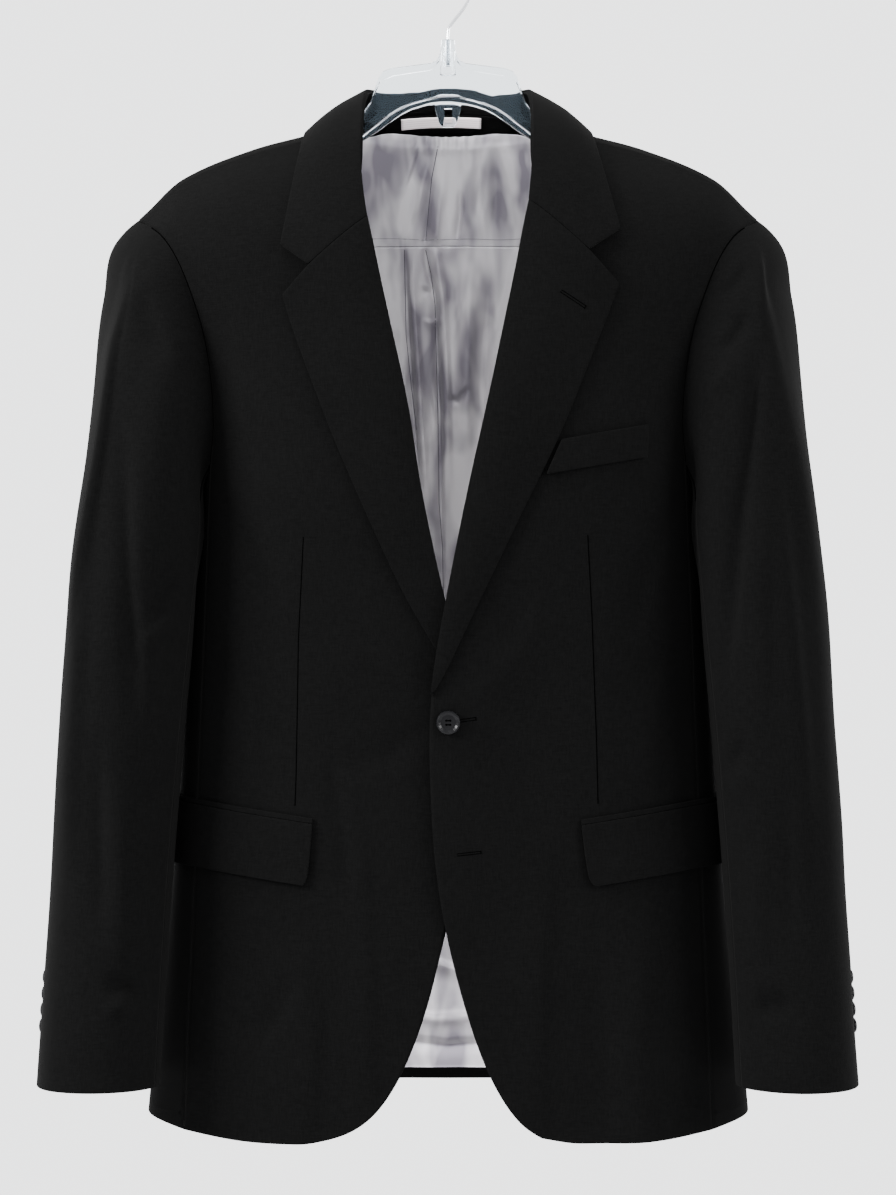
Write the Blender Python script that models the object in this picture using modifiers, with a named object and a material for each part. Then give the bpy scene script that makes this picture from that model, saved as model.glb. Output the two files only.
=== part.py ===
"""A single-breasted wool blazer on a clear plastic hanger, every cloth panel a thin wall.

Metres, +Z up. The wearer faces -Y, so the wearer's left is +X. The origin is the inside of the
hook's top. Heights are therefore negative nearly everywhere.

The body is one smooth surface: a rounded ring at each height, closed over the shoulders by a
soft ridge. Every panel is a region of it, and what lies on a panel is made from the same
surface, lifted off it.
"""

import math
from collections import namedtuple

import bmesh
import bpy
import numpy as np
from mathutils import Matrix, Vector

# ---- Driving dimensions ------------------------------------------------------------------------
WALL = 0.002  # wool, with its interlining
LINING_WALL = 0.001
SEAM = 0.0003  # parting between two pieces that are sewn together
RING_POWER = 2.6  # 2 is an ellipse, larger is squarer
MIDDLE_WIDTH = 0.6  # the body's flat middle, for telling outwards from inwards
MIDDLE_HEIGHT = -0.3
UPWARD_SHARE = 0.3
SLOPE_STEP = 0.0005  # how far apart a surface is read to find its slope
FOLD_FADE_DEPTH = 0.040  # folds fade out over this depth towards the shoulder's top and the sides
OVERLAP_LIFT = 0.0056  # how far the left front's edge rides over the right front
OVERLAP_ACROSS = (0.012, 0.055)  # it sinks back between these
OVERLAP_FOOT = (-0.745, -0.690)
OVERLAP_TOP = (-0.455, -0.410)
HALF_SHOULDER = 0.2285
RIDGE_END = HALF_SHOULDER - 0.0005  # where the back meets the sleeve on the shoulder's top
SHOULDER_SEAM_END = HALF_SHOULDER - 0.001
SHOULDER_DROP = 0.0090  # shoulder seam below the ridge, on the front, at the neck
SHOULDER_END_DROP = 0.0054  # and at the sleeve
SLEEVE_HEM = -0.8225
YOKE_SEAM = -0.203
LINING_HEM = -0.8530

BodyRing = namedtuple("BodyRing", "height half_width front_depth back_depth")
BODY_RINGS = (
    BodyRing(-0.870, 0.2240, 0.088, 0.086),
    BodyRing(-0.780, 0.2155, 0.088, 0.084),
    BodyRing(-0.660, 0.2030, 0.086, 0.080),
    BodyRing(-0.560, 0.1955, 0.085, 0.079),
    BodyRing(-0.470, 0.1880, 0.092, 0.088),
    BodyRing(-0.395, 0.1830, 0.099, 0.097),
    BodyRing(-0.330, 0.1860, 0.098, 0.102),
    BodyRing(-0.260, 0.2060, 0.091, 0.100),
    BodyRing(-0.200, 0.2400, 0.084, 0.095),
    BodyRing(-0.080, 0.2900, 0.080, 0.090),
)

# The shoulder's top line from the front, and how far below it the cloth has rounded over.
Ridge = namedtuple("Ridge", "across height rounding")
RIDGE = (
    Ridge(0.000, -0.0780, 0.125),
    Ridge(0.025, -0.0850, 0.125),
    Ridge(0.050, -0.1000, 0.125),
    Ridge(0.077, -0.1200, 0.123),
    Ridge(0.104, -0.1310, 0.118),
    Ridge(0.145, -0.1455, 0.108),
    Ridge(0.187, -0.1620, 0.094),
    Ridge(0.212, -0.1775, 0.084),
    Ridge(0.2285, -0.1927, 0.078),
    Ridge(0.260, -0.2280, 0.070),
)

# The hem rises from the front edges round to the back.
HemRise = namedtuple("HemRise", "depth rise")
HEM_RISE = (
    HemRise(-0.090, 0.0),
    HemRise(-0.078, 0.0006),
    HemRise(-0.060, 0.0055),
    HemRise(-0.035, 0.0095),
    HemRise(0.000, 0.0115),
    HemRise(0.050, 0.0150),
    HemRise(0.086, 0.0175),
)
HEM = -0.8640
RISE_STARTS = -0.700

# Soft folds of the body cloth: where, over which heights, how wide and how deep.
Fold = namedtuple("Fold", "across_top across_foot top foot half_width depth")
FRONT_FOLDS = {
    -1: (
        Fold(0.078, 0.070, -0.600, -0.860, 0.022, -0.0030),
        Fold(0.120, 0.128, -0.660, -0.900, 0.026, 0.0030),
        Fold(0.138, 0.134, -0.360, -0.600, 0.015, -0.0022),
    ),
    1: (
        Fold(0.090, 0.082, -0.640, -0.880, 0.024, -0.0026),
        Fold(0.135, 0.140, -0.680, -0.900, 0.026, 0.0028),
        Fold(0.136, 0.132, -0.380, -0.590, 0.015, -0.0020),
    ),
}
BACK_FOLDS = {
    -1: (
        Fold(0.110, 0.080, -0.300, -0.600, 0.030, -0.0035),
        Fold(0.060, 0.070, -0.560, -0.900, 0.032, 0.0035),
    ),
    1: (
        Fold(0.100, 0.075, -0.320, -0.640, 0.030, -0.0030),
        Fold(0.070, 0.064, -0.600, -0.900, 0.030, 0.0030),
    ),
}

# Front edges, each side's own outward distance from the centre: roll line, closing edge, cutaway.
Edge = namedtuple("Edge", "height across")
FRONT_EDGE = {
    -1: (
        Edge(-0.8640, 0.1000),
        Edge(-0.8627, 0.0908),
        Edge(-0.8580, 0.0752),
        Edge(-0.8490, 0.0588),
        Edge(-0.8362, 0.0467),
        Edge(-0.8150, 0.0333),
        Edge(-0.7972, 0.0255),
        Edge(-0.7674, 0.0149),
        Edge(-0.7298, 0.0057),
        Edge(-0.6900, -0.0040),
        Edge(-0.6040, -0.0126),
        Edge(-0.5510, -0.0130),
        Edge(-0.5240, -0.0095),
        Edge(-0.4768, 0.0021),
        Edge(-0.4449, 0.0092),
        Edge(-0.4038, 0.0184),
        Edge(-0.3420, 0.0270),
        Edge(-0.2934, 0.0377),
        Edge(-0.2525, 0.0470),
        Edge(-0.2272, 0.0520),
        Edge(-0.2025, 0.0574),
        Edge(-0.1770, 0.0640),
        Edge(-0.1500, 0.0710),
        Edge(-0.1290, 0.0770),
    ),
    1: (
        Edge(-0.8645, 0.0920),
        Edge(-0.8630, 0.0780),
        Edge(-0.8590, 0.0655),
        Edge(-0.8500, 0.0525),
        Edge(-0.8423, 0.0455),
        Edge(-0.8258, 0.0348),
        Edge(-0.8080, 0.0262),
        Edge(-0.7830, 0.0170),
        Edge(-0.7545, 0.0085),
        Edge(-0.7175, -0.0007),
        Edge(-0.6600, -0.0100),
        Edge(-0.6040, -0.0128),
        Edge(-0.5510, -0.0133),
        Edge(-0.5193, -0.0092),
        Edge(-0.4746, -0.0014),
        Edge(-0.4392, 0.0057),
        Edge(-0.3988, 0.0135),
        Edge(-0.3633, 0.0220),
        Edge(-0.3290, 0.0291),
        Edge(-0.2934, 0.0370),
        Edge(-0.2575, 0.0441),
        Edge(-0.2233, 0.0514),
        Edge(-0.1895, 0.0575),
        Edge(-0.1700, 0.0640),
        Edge(-0.1450, 0.0715),
        Edge(-0.1290, 0.0770),
    ),
}

# The armhole, from the shoulder seam down the front and up the back.
UnderArm = namedtuple("UnderArm", "height depth")
ARMHOLE_FRONT = (
    Edge(-0.2086, 0.2110),
    Edge(-0.2246, 0.1990),
    Edge(-0.2378, 0.1920),
    Edge(-0.2590, 0.1840),
    Edge(-0.2855, 0.1755),
    Edge(-0.3180, 0.1710),
    Edge(-0.3530, 0.1692),
    Edge(-0.3760, 0.1730),
)
ARMHOLE_UNDER = (
    UnderArm(-0.3900, -0.0240),
    UnderArm(-0.3955, 0.0000),
    UnderArm(-0.3915, 0.0260),
)
ARMHOLE_BACK = (
    Edge(-0.3760, 0.1725),
    Edge(-0.3530, 0.1730),
    Edge(-0.3180, 0.1770),
    Edge(-0.2855, 0.1850),
    Edge(-0.2590, 0.1930),
    Edge(-0.2378, 0.2000),
    Edge(-0.2246, 0.2055),
    Edge(-0.2086, 0.2140),
)

# Rows shared by every body panel below the armhole, so that seams meet point for point.
LOW_ROWS = (
    -0.430, -0.475, -0.520, -0.5635, -0.610, -0.655, -0.695, -0.730, -0.760,
    -0.787, -0.810, -0.829, -0.843, -0.853, -0.8595, HEM,
)  # fmt: skip
TopEdge = namedtuple("TopEdge", "across height")
NECK_EDGE = (
    TopEdge(0.0600, -0.1130),
    TopEdge(0.0400, -0.1075),
    TopEdge(0.0200, -0.1048),
    TopEdge(0.0000, -0.1040),
)
BACK_CENTRE_HEIGHTS = (-0.150, -0.205, -0.270, -0.335)
FRONT_INNER_HEIGHTS = (-0.1520, -0.1770, -0.2030, -0.2350, -0.2700, -0.3080, -0.3460, -0.3880)

# How far each row of a panel follows the shoulder's slope.
FRONT_SLANTS = (1.0, 0.85, 0.7, 0.55, 0.4, 0.25, 0.12, 0.05, 0.0) + (0.0,) * len(LOW_ROWS)
BACK_SLANTS = (1.0, 1.0, 0.9, 0.8, 0.6, 0.4, 0.2, 0.1) + (0.0,) * len(LOW_ROWS)
PANEL_COLUMNS = 9

FRONT_SIDE_SEAM_FOOT = 0.1900  # where the front meets the side body, at the hem
BACK_SIDE_SEAM_FOOT = 0.1960

# Sleeves: rings below the armhole, their centres and half sizes.
SleeveRing = namedtuple("SleeveRing", "height across depth half_width half_depth")
SLEEVE_RINGS = (
    SleeveRing(-0.3600, 0.2157, -0.030, 0.0477, 0.070),
    SleeveRing(-0.4480, 0.2249, -0.038, 0.0479, 0.066),
    SleeveRing(-0.5060, 0.2302, -0.042, 0.0472, 0.062),
    SleeveRing(-0.5880, 0.2369, -0.047, 0.0459, 0.056),
    SleeveRing(-0.6790, 0.2425, -0.056, 0.0445, 0.050),
    SleeveRing(-0.7650, 0.2470, -0.066, 0.0444, 0.045),
    SleeveRing(-0.8225, 0.2498, -0.073, 0.0448, 0.042),
)
SLEEVE_HEIGHTS = (-0.470, -0.510, -0.550, -0.595, -0.645, -0.695, -0.740, -0.780, -0.805, SLEEVE_HEM)
SLEEVE_ROOM = 0.0016  # how far the sleeve stays off the body it hangs against
CAP_FOOT = -0.430
CAP_START_PULL = 0.26  # how far the cap follows its start and its foot, as shares of its length
CAP_FOOT_PULL = 0.42
CAP_FOOT_WAY = (-0.10, 0.09, 1.0)
NUDGES = 40
NUDGE_SHARE = 0.02
CAP_SHARES = (0.0, 0.08, 0.22, 0.42, 0.68, 1.0)

# Which way the sleeve leaves the armhole, at stations counted from the shoulder seam forwards.
CapStart = namedtuple("CapStart", "station out depth height")
CAP_STARTS = (
    CapStart(0, 0.85, -0.10, -0.45),
    CapStart(3, 0.80, -0.50, -0.20),
    CapStart(5, 0.50, -0.80, -0.25),
    CapStart(7, 0.55, -0.60, -0.60),
    CapStart(8, 0.80, -0.25, -0.55),
    CapStart(10, 0.90, 0.00, -0.45),
    CapStart(12, 0.85, 0.15, -0.50),
    CapStart(13, 0.60, 0.60, -0.45),
    CapStart(15, 0.50, 0.75, -0.20),
    CapStart(18, 0.80, 0.45, -0.25),
    CapStart(20, 0.85, 0.05, -0.45),
    CapStart(21, 0.85, -0.10, -0.45),
)
FRONT_SLEEVE_SEAM = 8
BACK_SLEEVE_SEAM = 15
LOWEST_STATION = 10  # under the arm
LOWEST_DEGREES = 198  # how far round the sleeve that station lies

# Soft folds down the sleeves, at degrees round from the outer side, forwards.
SleeveFold = namedtuple("SleeveFold", "degrees_top degrees_foot top foot half_width depth")
SLEEVE_FOLDS = {
    -1: (
        SleeveFold(38, 30, -0.215, -0.560, 13, 0.0028),
        SleeveFold(66, 62, -0.230, -0.520, 15, -0.0032),
        SleeveFold(120, 85, -0.440, -0.560, 16, -0.0030),
        SleeveFold(60, 95, -0.600, -0.740, 18, -0.0024),
        SleeveFold(290, 270, -0.260, -0.560, 18, -0.0030),
    ),
    1: (
        SleeveFold(42, 34, -0.215, -0.600, 13, 0.0026),
        SleeveFold(72, 64, -0.240, -0.540, 15, -0.0032),
        SleeveFold(115, 88, -0.400, -0.520, 16, -0.0030),
        SleeveFold(70, 100, -0.620, -0.760, 18, -0.0024),
        SleeveFold(286, 268, -0.280, -0.580, 18, -0.0030),
    ),
}

# Lapels: where each row leaves the roll line and where it meets the outer edge.
LapelRow = namedtuple("LapelRow", "roll_height edge_across edge_height belly")
LAPEL_ROWS = {
    -1: (
        LapelRow(-0.2047, 0.1170, -0.2600, 0.0040),
        LapelRow(-0.2250, 0.1125, -0.2760, 0.0042),
        LapelRow(-0.2520, 0.1050, -0.2980, 0.0042),
        LapelRow(-0.2830, 0.0950, -0.3240, 0.0040),
        LapelRow(-0.3180, 0.0820, -0.3590, 0.0036),
        LapelRow(-0.3540, 0.0670, -0.3940, 0.0030),
        LapelRow(-0.3900, 0.0545, -0.4225, 0.0022),
        LapelRow(-0.4230, 0.0415, -0.4510, 0.0012),
        LapelRow(-0.4500, 0.0300, -0.4750, 0.0002),
        LapelRow(-0.4780, 0.0165, -0.4985, 0.0),
        LapelRow(-0.5050, 0.0040, -0.5190, 0.0),
    ),
    1: (
        LapelRow(-0.1926, 0.1205, -0.2519, 0.0040),
        LapelRow(-0.2150, 0.1148, -0.2690, 0.0042),
        LapelRow(-0.2430, 0.1066, -0.2900, 0.0042),
        LapelRow(-0.2760, 0.0960, -0.3170, 0.0040),
        LapelRow(-0.3120, 0.0840, -0.3480, 0.0036),
        LapelRow(-0.3500, 0.0705, -0.3780, 0.0034),
        LapelRow(-0.3880, 0.0560, -0.4065, 0.0030),
        LapelRow(-0.4260, 0.0398, -0.4400, 0.0024),
        LapelRow(-0.4640, 0.0235, -0.4740, 0.0018),
        LapelRow(-0.5000, 0.0085, -0.5060, 0.0012),
        LapelRow(-0.5250, 0.0000, -0.5250, 0.0006),
        LapelRow(-0.5440, -0.0085, -0.5400, 0.0),
    ),
}
NOTCH = {-1: (0.0983, -0.2396), 1: (0.0994, -0.2292)}
NOTCH_SHARE = 0.66
LAPEL_SHARES = (0.0, 0.10, 0.28, 0.47, NOTCH_SHARE, 0.83, 1.0)
LAPEL_LIFT = 0.0029  # outer face of the lapel above the front, where it lies flat
GORGE_LIFT = 0.0045
BELLY_POWER = 0.7
GORGE_LIFT_FADES = (1, 0.8, 0.6, 0.4, 0.2)  # rows from the gorge down
NOTCH_FADES = (0.6, 0.3, 0.1)  # how much of the notch's corner the next rows of the lapel keep
COLLAR_NOTCH_FADES = (0.45, 0.20)  # and of the collar

# Collar: rows from one gorge round the neck. The roll line is in space, its outer edge on the body.
CollarRow = namedtuple("CollarRow", "roll_across roll_depth roll_height edge_across edge_height")
COLLAR_TIP = {-1: (0.1190, -0.2246), 1: (0.1222, -0.2139)}
COLLAR_FRONT = {
    -1: (
        CollarRow(0.0606, -0.0815, -0.1820, 0.1150, -0.2020),
        CollarRow(0.0630, -0.0730, -0.1580, 0.1110, -0.1780),
        CollarRow(0.0632, -0.0590, -0.1350, 0.1072, -0.1560),
        CollarRow(0.0626, -0.0370, -0.1140, 0.1048, -0.1400),
    ),
    1: (
        CollarRow(0.0592, -0.0780, -0.1710, 0.1172, -0.1930),
        CollarRow(0.0608, -0.0690, -0.1500, 0.1122, -0.1720),
        CollarRow(0.0615, -0.0560, -0.1310, 0.1078, -0.1540),
        CollarRow(0.0616, -0.0360, -0.1120, 0.1050, -0.1395),
    ),
}
COLLAR_RIDGE = CollarRow(0.0612, -0.0110, -0.0990, 0.1045, None)
COLLAR_BACK = (
    CollarRow(0.0590, 0.0140, -0.0955, 0.0975, -0.1345),
    CollarRow(0.0500, 0.0350, -0.0925, 0.0790, -0.1385),
    CollarRow(0.0280, 0.0510, -0.0898, 0.0430, -0.1400),
    CollarRow(0.0000, 0.0570, -0.0890, 0.0000, -0.1385),
)
COLLAR_LIFT = 0.0032
COLLAR_BULGE = 0.0040  # the fall bulges away from the neck between its fold and its edge
COLLAR_BULGE_WAY = (0.5, 0.6, 0.5)
COLLAR_LEAN_DEPTH = 0.03

# Hip pockets: heights at the front end and how much they rise to the side seam.
Pocket = namedtuple("Pocket", "front jet_top flap_top foot_front foot_height rise")
POCKETS = {
    -1: Pocket(0.0964, -0.6324, -0.6363, 0.1000, -0.6810, 0.0135),
    1: Pocket(0.0948, -0.6331, -0.6371, 0.1000, -0.6820, 0.0135),
}
POCKET_RISE_RUN = 0.0955
POCKET_BACK_DEPTH = -0.004
HIP_SHARES = (0, 0.06, 0.25, 0.5, 0.75, 1)  # of the way from the pocket's end to the side seam
HIP_SIDE_SHARES = (0.35, 0.7, 1)  # and on round the side
HIP_SIDE_RISE = 0.0012
FLAP_DROPS = (0, 0.4, 0.76, 0.91, 1)
FLAP_SLOPES = (0, 0.4, 0.8, 1.15, 1.9)  # the front end slopes, then rounds into the foot
FLAP_WALL = 0.0018
FLAP_LIFT = 0.0027
FLAP_STAND_OFF = 0.0008
JET_WALL = 0.0012
JET_LIFT = 0.0020
WELT_LIFT = 0.0026
WELT_WALL = 0.0018
BREAST_WELT = ((0.0800, -0.3631), (0.1424, -0.3513), (0.1417, -0.3749), (0.0690, -0.3880))

# Inside the back: the lining's top edge, and how far below the neck edge the small pieces sit.
YOKE_TOP = (
    TopEdge(0.000, -0.1206),
    TopEdge(0.028, -0.1196),
    TopEdge(0.052, -0.1190),
    TopEdge(0.075, -0.1285),
    TopEdge(0.100, -0.1420),
    TopEdge(0.150, -0.1640),
)
LINING_ACROSS = 0.150
INSIDE_COLUMNS = 13
YOKE_ROWS = 6
LINING_ROWS = 16
FACING_ROWS = 4
SMALL_COLUMNS = 9  # of the label and the loop
SMALL_ROWS = 3
# How far inside the back's outer face the lining hangs.
InsideLift = namedtuple("InsideLift", "height lift")
INSIDE_LIFTS = (
    InsideLift(-0.100, 0.0032),
    InsideLift(-0.110, 0.0042),
    InsideLift(-0.125, 0.0057),
    InsideLift(-0.150, 0.0064),
    InsideLift(-0.200, 0.0058),
    InsideLift(-0.250, 0.0050),
    InsideLift(-0.310, 0.0036),
    InsideLift(-0.400, 0.0033),
    InsideLift(-0.870, 0.0033),
)
FACING_ACROSS = 0.0500
EDGE_DROP = 0.0010
SMALL_WALL = 0.0008
LABEL_ENDS = (-0.0380, 0.0270)
LABEL_DROPS = (0.0018, 0.0084)
LOOP_ENDS = (-0.0330, 0.0220)
LOOP_DROPS = (0.0092, 0.0120)

BUTTON_LIFT = 0.0004
CUFF_BUTTON_LIFT = 0.0001
FRONT_BUTTON_RADIUS = 0.0086
FRONT_BUTTON_THICKNESS = 0.0036
LOWER_BUTTON_THICKNESS = 0.0024
FRONT_BUTTON_SEGMENTS = 20
CUFF_BUTTON_RADIUS = 0.0055
CUFF_BUTTON_THICKNESS = 0.0026
CUFF_BUTTON_SEGMENTS = 14
BUTTON_PROFILE = (
    (0.0, 0.0), (0.84, 0.0), (1.0, 0.38), (0.96, 0.86), (0.83, 1.0), (0.64, 0.72), (0.0, 0.66),
)  # fmt: skip
HOLE_SPREAD = 0.17  # shares of the radius
HOLE_RADIUS = 0.10
HOLE_SIDES = 6
FRONT_BUTTON = (0.0002, -0.5635)
LOWER_BUTTON = (0.0007, -0.6550)
CUFF_BUTTONS = (-0.7490, -0.7605, -0.7720, -0.7835)
CUFF_BUTTON_DEGREES = -16

# Hanger, from the front: top and lower edge at stations out from the centre. Top heights left
# blank follow the inside of the shoulder.
HangerStation = namedtuple("HangerStation", "top_across top_height low_across low_height")
HANGER_STATIONS = (
    HangerStation(0.0000, -0.0640, 0.0000, -0.1085),
    HangerStation(0.0046, -0.0642, 0.0050, -0.1085),
    HangerStation(0.0052, -0.0660, 0.0075, -0.1087),
    HangerStation(0.0058, -0.0720, 0.0100, -0.1089),
    HangerStation(0.0086, -0.0770, 0.0140, -0.1093),
    HangerStation(0.0126, -0.0791, 0.0190, -0.1103),
    HangerStation(0.0260, -0.0808, 0.0270, -0.1128),
    HangerStation(0.0420, -0.0829, 0.0350, -0.1168),
    HangerStation(0.0480, -0.0852, 0.0430, -0.1222),
    HangerStation(0.0512, -0.0895, 0.0510, -0.1282),
    HangerStation(0.0535, -0.0962, 0.0590, -0.1335),
    HangerStation(0.0572, -0.1073, 0.0680, -0.1390),
    HangerStation(0.0650, -0.1190, 0.0780, -0.1445),
    HangerStation(0.0790, None, 0.0900, -0.1505),
    HangerStation(0.1040, None, 0.1080, -0.1585),
    HangerStation(0.1300, None, 0.1320, -0.1690),
    HangerStation(0.1560, None, 0.1550, -0.1785),
    HangerStation(0.1780, -0.1645, 0.1740, -0.1860),
    HangerStation(0.1900, -0.1715, 0.1870, -0.1905),
    HangerStation(0.1940, -0.1760, 0.1930, -0.1885),
)
HANGER_ROOM = 0.00404  # below the shoulder's top line
HANGER_RIM = 0.0070
HANGER_WEB = 0.0024
RIM_SHARES = (
    (0.0, 0.8), (0.03, 1.0), (0.11, 1.0), (0.15, 0.0), (0.85, 0.0), (0.89, 1.0), (0.97, 1.0), (1.0, 0.8),
)  # fmt: skip

WIRE_RADIUS = 0.0013
HOOK_RADIUS = 0.0200
HOOK_STEM = (
    (0.0, -0.0800), (0.0, -0.0640), (0.0, -0.0550), (0.0009, -0.0518), (0.0040, -0.0475),
    (0.0085, -0.0422), (0.0128, -0.0365),
)  # fmt: skip
HOOK_FIRST_DEGREES = -37
HOOK_LAST_DEGREES = 205
HOOK_STEP_DEGREES = 9
SOCKET_RADIUS = 0.0052
SOCKET_TOP = -0.0617
SOCKET_FOOT = -0.0870
BORE_RADIUS = 0.0017
BORE_FOOT = -0.0812
BORE_LENGTH = 0.040
SOCKET_FLARE = 1.15
TAB_THICKNESS = 0.0032
TAB_OUTLINE = (
    (-0.0096, -0.1080), (-0.0096, -0.1130), (-0.0064, -0.1235), (-0.0040, -0.1262),
    (0.0040, -0.1262), (0.0064, -0.1235), (0.0096, -0.1130), (0.0096, -0.1080),
)  # fmt: skip
TAB_SLOT = ((-0.0026, -0.1125), (-0.0026, -0.1232), (0.0030, -0.1232), (0.0030, -0.1125))


def smooth(table, column, at):
    """A cubic curve through one column of a table, read at any value of its first column."""
    rows = sorted(table, key=lambda row: row[0])
    keys = np.array([row[0] for row in rows], float)
    values = np.array([getattr(row, column) for row in rows], float)
    slopes = np.gradient(values, keys)
    at = np.clip(np.asarray(at, float), keys[0], keys[-1])
    i = np.clip(np.searchsorted(keys, at) - 1, 0, len(keys) - 2)
    step = keys[i + 1] - keys[i]
    t = (at - keys[i]) / step
    start = (2 * t**3 - 3 * t**2 + 1) * values[i] + (t**3 - 2 * t**2 + t) * step * slopes[i]
    end = (3 * t**2 - 2 * t**3) * values[i + 1] + (t**3 - t**2) * step * slopes[i + 1]
    return start + end


def ease(low, high, at):
    """0 below low, 1 above high, with soft ends."""
    t = np.clip((np.asarray(at, float) - low) / (high - low), 0, 1)
    return t * t * (3 - 2 * t)


def fold_lift(folds, across, height):
    """How far the folds push the cloth out at a place."""
    lift = np.zeros(np.broadcast(across, height).shape)
    for fold in folds:
        run = np.clip((fold.top - height) / (fold.top - fold.foot), 0, 1)
        centre = fold.across_top + (fold.across_foot - fold.across_top) * run
        along = np.sin(math.pi * run) ** 2 if fold.foot > HEM else ease(0, 0.5, run)
        lift = lift + fold.depth * along * np.exp(-(((across - centre) / fold.half_width) ** 2))
    return lift


def ring_depth(across, height, back):
    """Depth of the body's surface, as a positive distance from the plane of the hanger."""
    half_width = smooth(BODY_RINGS, "half_width", height)
    depth = smooth(BODY_RINGS, "back_depth" if back else "front_depth", height)
    share = np.clip(np.abs(across) / half_width, 0, 1)
    rounded = (1 - share**RING_POWER) ** (1 / RING_POWER)
    drop = (smooth(RIDGE, "height", np.abs(across)) - height) / smooth(
        RIDGE, "rounding", np.abs(across)
    )
    over_ridge = np.sqrt(1 - (1 - np.clip(drop, 0, 1)) ** 2)
    return depth * rounded * over_ridge


def hem_shift(depth, height):
    """How far a point near the hem is raised, from its depth."""
    share = np.clip((RISE_STARTS - height) / (RISE_STARTS - HEM), 0, 1)
    return share * smooth(HEM_RISE, "rise", depth)


def overlap_lift(across, height, side):
    """The left front's edge rides over the right one between the lapel's end and the cutaway."""
    if side < 0:
        return 0.0
    inwards = 1 - ease(*OVERLAP_ACROSS, across)
    return OVERLAP_LIFT * inwards * ease(*OVERLAP_FOOT, height) * (1 - ease(*OVERLAP_TOP, height))


def body_point(across, height, side, back=False):
    """Points of the body's outer face. Across counts outwards from the centre on that side."""
    across, height = np.broadcast_arrays(np.asarray(across, float), np.asarray(height, float))
    depth = ring_depth(across, height, back)
    folds = (BACK_FOLDS if back else FRONT_FOLDS)[side]
    depth = depth + fold_lift(folds, across, height) * ease(0.0, FOLD_FADE_DEPTH, depth)
    y = depth if back else -depth - overlap_lift(across, height, side)
    return np.stack([side * across, y, height + hem_shift(y, height)], -1)


def side_point(depth, height, side):
    """Points of the body's outer face under the arm, found from their depth."""
    depth, height = np.broadcast_arrays(np.asarray(depth, float), np.asarray(height, float))
    half_width = smooth(BODY_RINGS, "half_width", height)
    reach = np.where(
        depth > 0,
        smooth(BODY_RINGS, "back_depth", height),
        smooth(BODY_RINGS, "front_depth", height),
    )
    across = half_width * (1 - np.abs(depth / reach) ** RING_POWER) ** (1 / RING_POWER)
    return np.stack([side * across, depth, height + hem_shift(depth, height)], -1)


def ridge_point(across, side):
    """Points on the shoulder's top line."""
    across = np.asarray(across, float)
    return np.stack([side * across, 0 * across, smooth(RIDGE, "height", across)], -1)


def unit(vectors):
    return vectors / np.linalg.norm(vectors, axis=-1, keepdims=True)


def outward(cross, points):
    """Turns normals so that they point away from the body's flat middle, mostly sideways."""
    middle = points * [MIDDLE_WIDTH, 0.0, 0.0] + [0.0, 0.0, MIDDLE_HEIGHT]
    away = np.sum(cross * (points - middle) * [1, 1, UPWARD_SHARE], -1, keepdims=True)
    return unit(cross * np.where(away < 0, -1, 1))


def surface_normal(place, first, second):
    """Normals of a surface that is a function of two coordinates."""
    along = place(first + SLOPE_STEP, second) - place(first - SLOPE_STEP, second)
    down = place(first, second + SLOPE_STEP) - place(first, second - SLOPE_STEP)
    return outward(np.cross(along, down), place(first, second))


def ridge_normal(across, side):
    ahead = smooth(RIDGE, "height", across + SLOPE_STEP)
    slope = (ahead - smooth(RIDGE, "height", across - SLOPE_STEP)) / (2 * SLOPE_STEP)
    return unit(np.stack([-side * slope, 0 * across, 1 + 0 * across], -1))


def grid_normal(points, inside):
    """Normals of a grid of points, turned away from a point on its inner side."""
    cross = np.cross(np.gradient(points, axis=1), np.gradient(points, axis=0))
    away = np.sum(cross * (points - inside)) < 0
    return unit(-cross if away else cross)


# ---- Making solids -----------------------------------------------------------------------------
def material(name, colour, roughness, metallic=0.0, transmission=0.0):
    made = bpy.data.materials.new(name)
    made.use_nodes = True
    shader = made.node_tree.nodes["Principled BSDF"]
    shader.inputs["Base Color"].default_value = (*colour, 1)
    shader.inputs["Roughness"].default_value = roughness
    shader.inputs["Metallic"].default_value = metallic
    shader.inputs["Transmission Weight"].default_value = transmission
    made.diffuse_color = (*colour, 1)
    return made


def add_mesh(name, form, finish):
    """Closes a bmesh into an object of the blazer, faces out."""
    bmesh.ops.recalc_face_normals(form, faces=form.faces)
    mesh = bpy.data.meshes.new(name)
    form.to_mesh(mesh)
    form.free()
    mesh.shade_smooth()
    mesh.set_sharp_from_angle(angle=math.radians(50))
    mesh.materials.append(finish)
    made = bpy.data.objects.new(name, mesh)
    blazer.objects.link(made)
    return made


def add_wall(name, outer, inner, finish):
    """A wall of cloth between two grids of points, closed round its border."""
    rows, columns = outer.shape[:2]
    form = bmesh.new()
    for points in (outer, inner):
        grid = bmesh.ops.create_grid(form, x_segments=columns - 1, y_segments=rows - 1, size=1)
        for vertex, place in zip(grid["verts"], points.reshape(-1, 3)):
            vertex.co = place
    form.verts.ensure_lookup_table()
    index = np.arange(rows * columns).reshape(rows, columns)
    border = [*index[0, :-1], *index[:-1, -1], *index[-1, :0:-1], *index[:0:-1, 0]]
    for here, following in zip(border, border[1:] + border[:1]):
        corners = (here, following, following + rows * columns, here + rows * columns)
        form.faces.new([form.verts[int(i)] for i in corners])
    return add_mesh(name, form, finish)


def mix(first, last, shares):
    """Points along the line between two points, or numbers between two numbers."""
    shares = np.asarray(shares, float)
    first, last = np.asarray(first, float), np.asarray(last, float)
    if first.ndim:
        shares = shares[..., None]
    return first + (last - first) * shares


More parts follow.
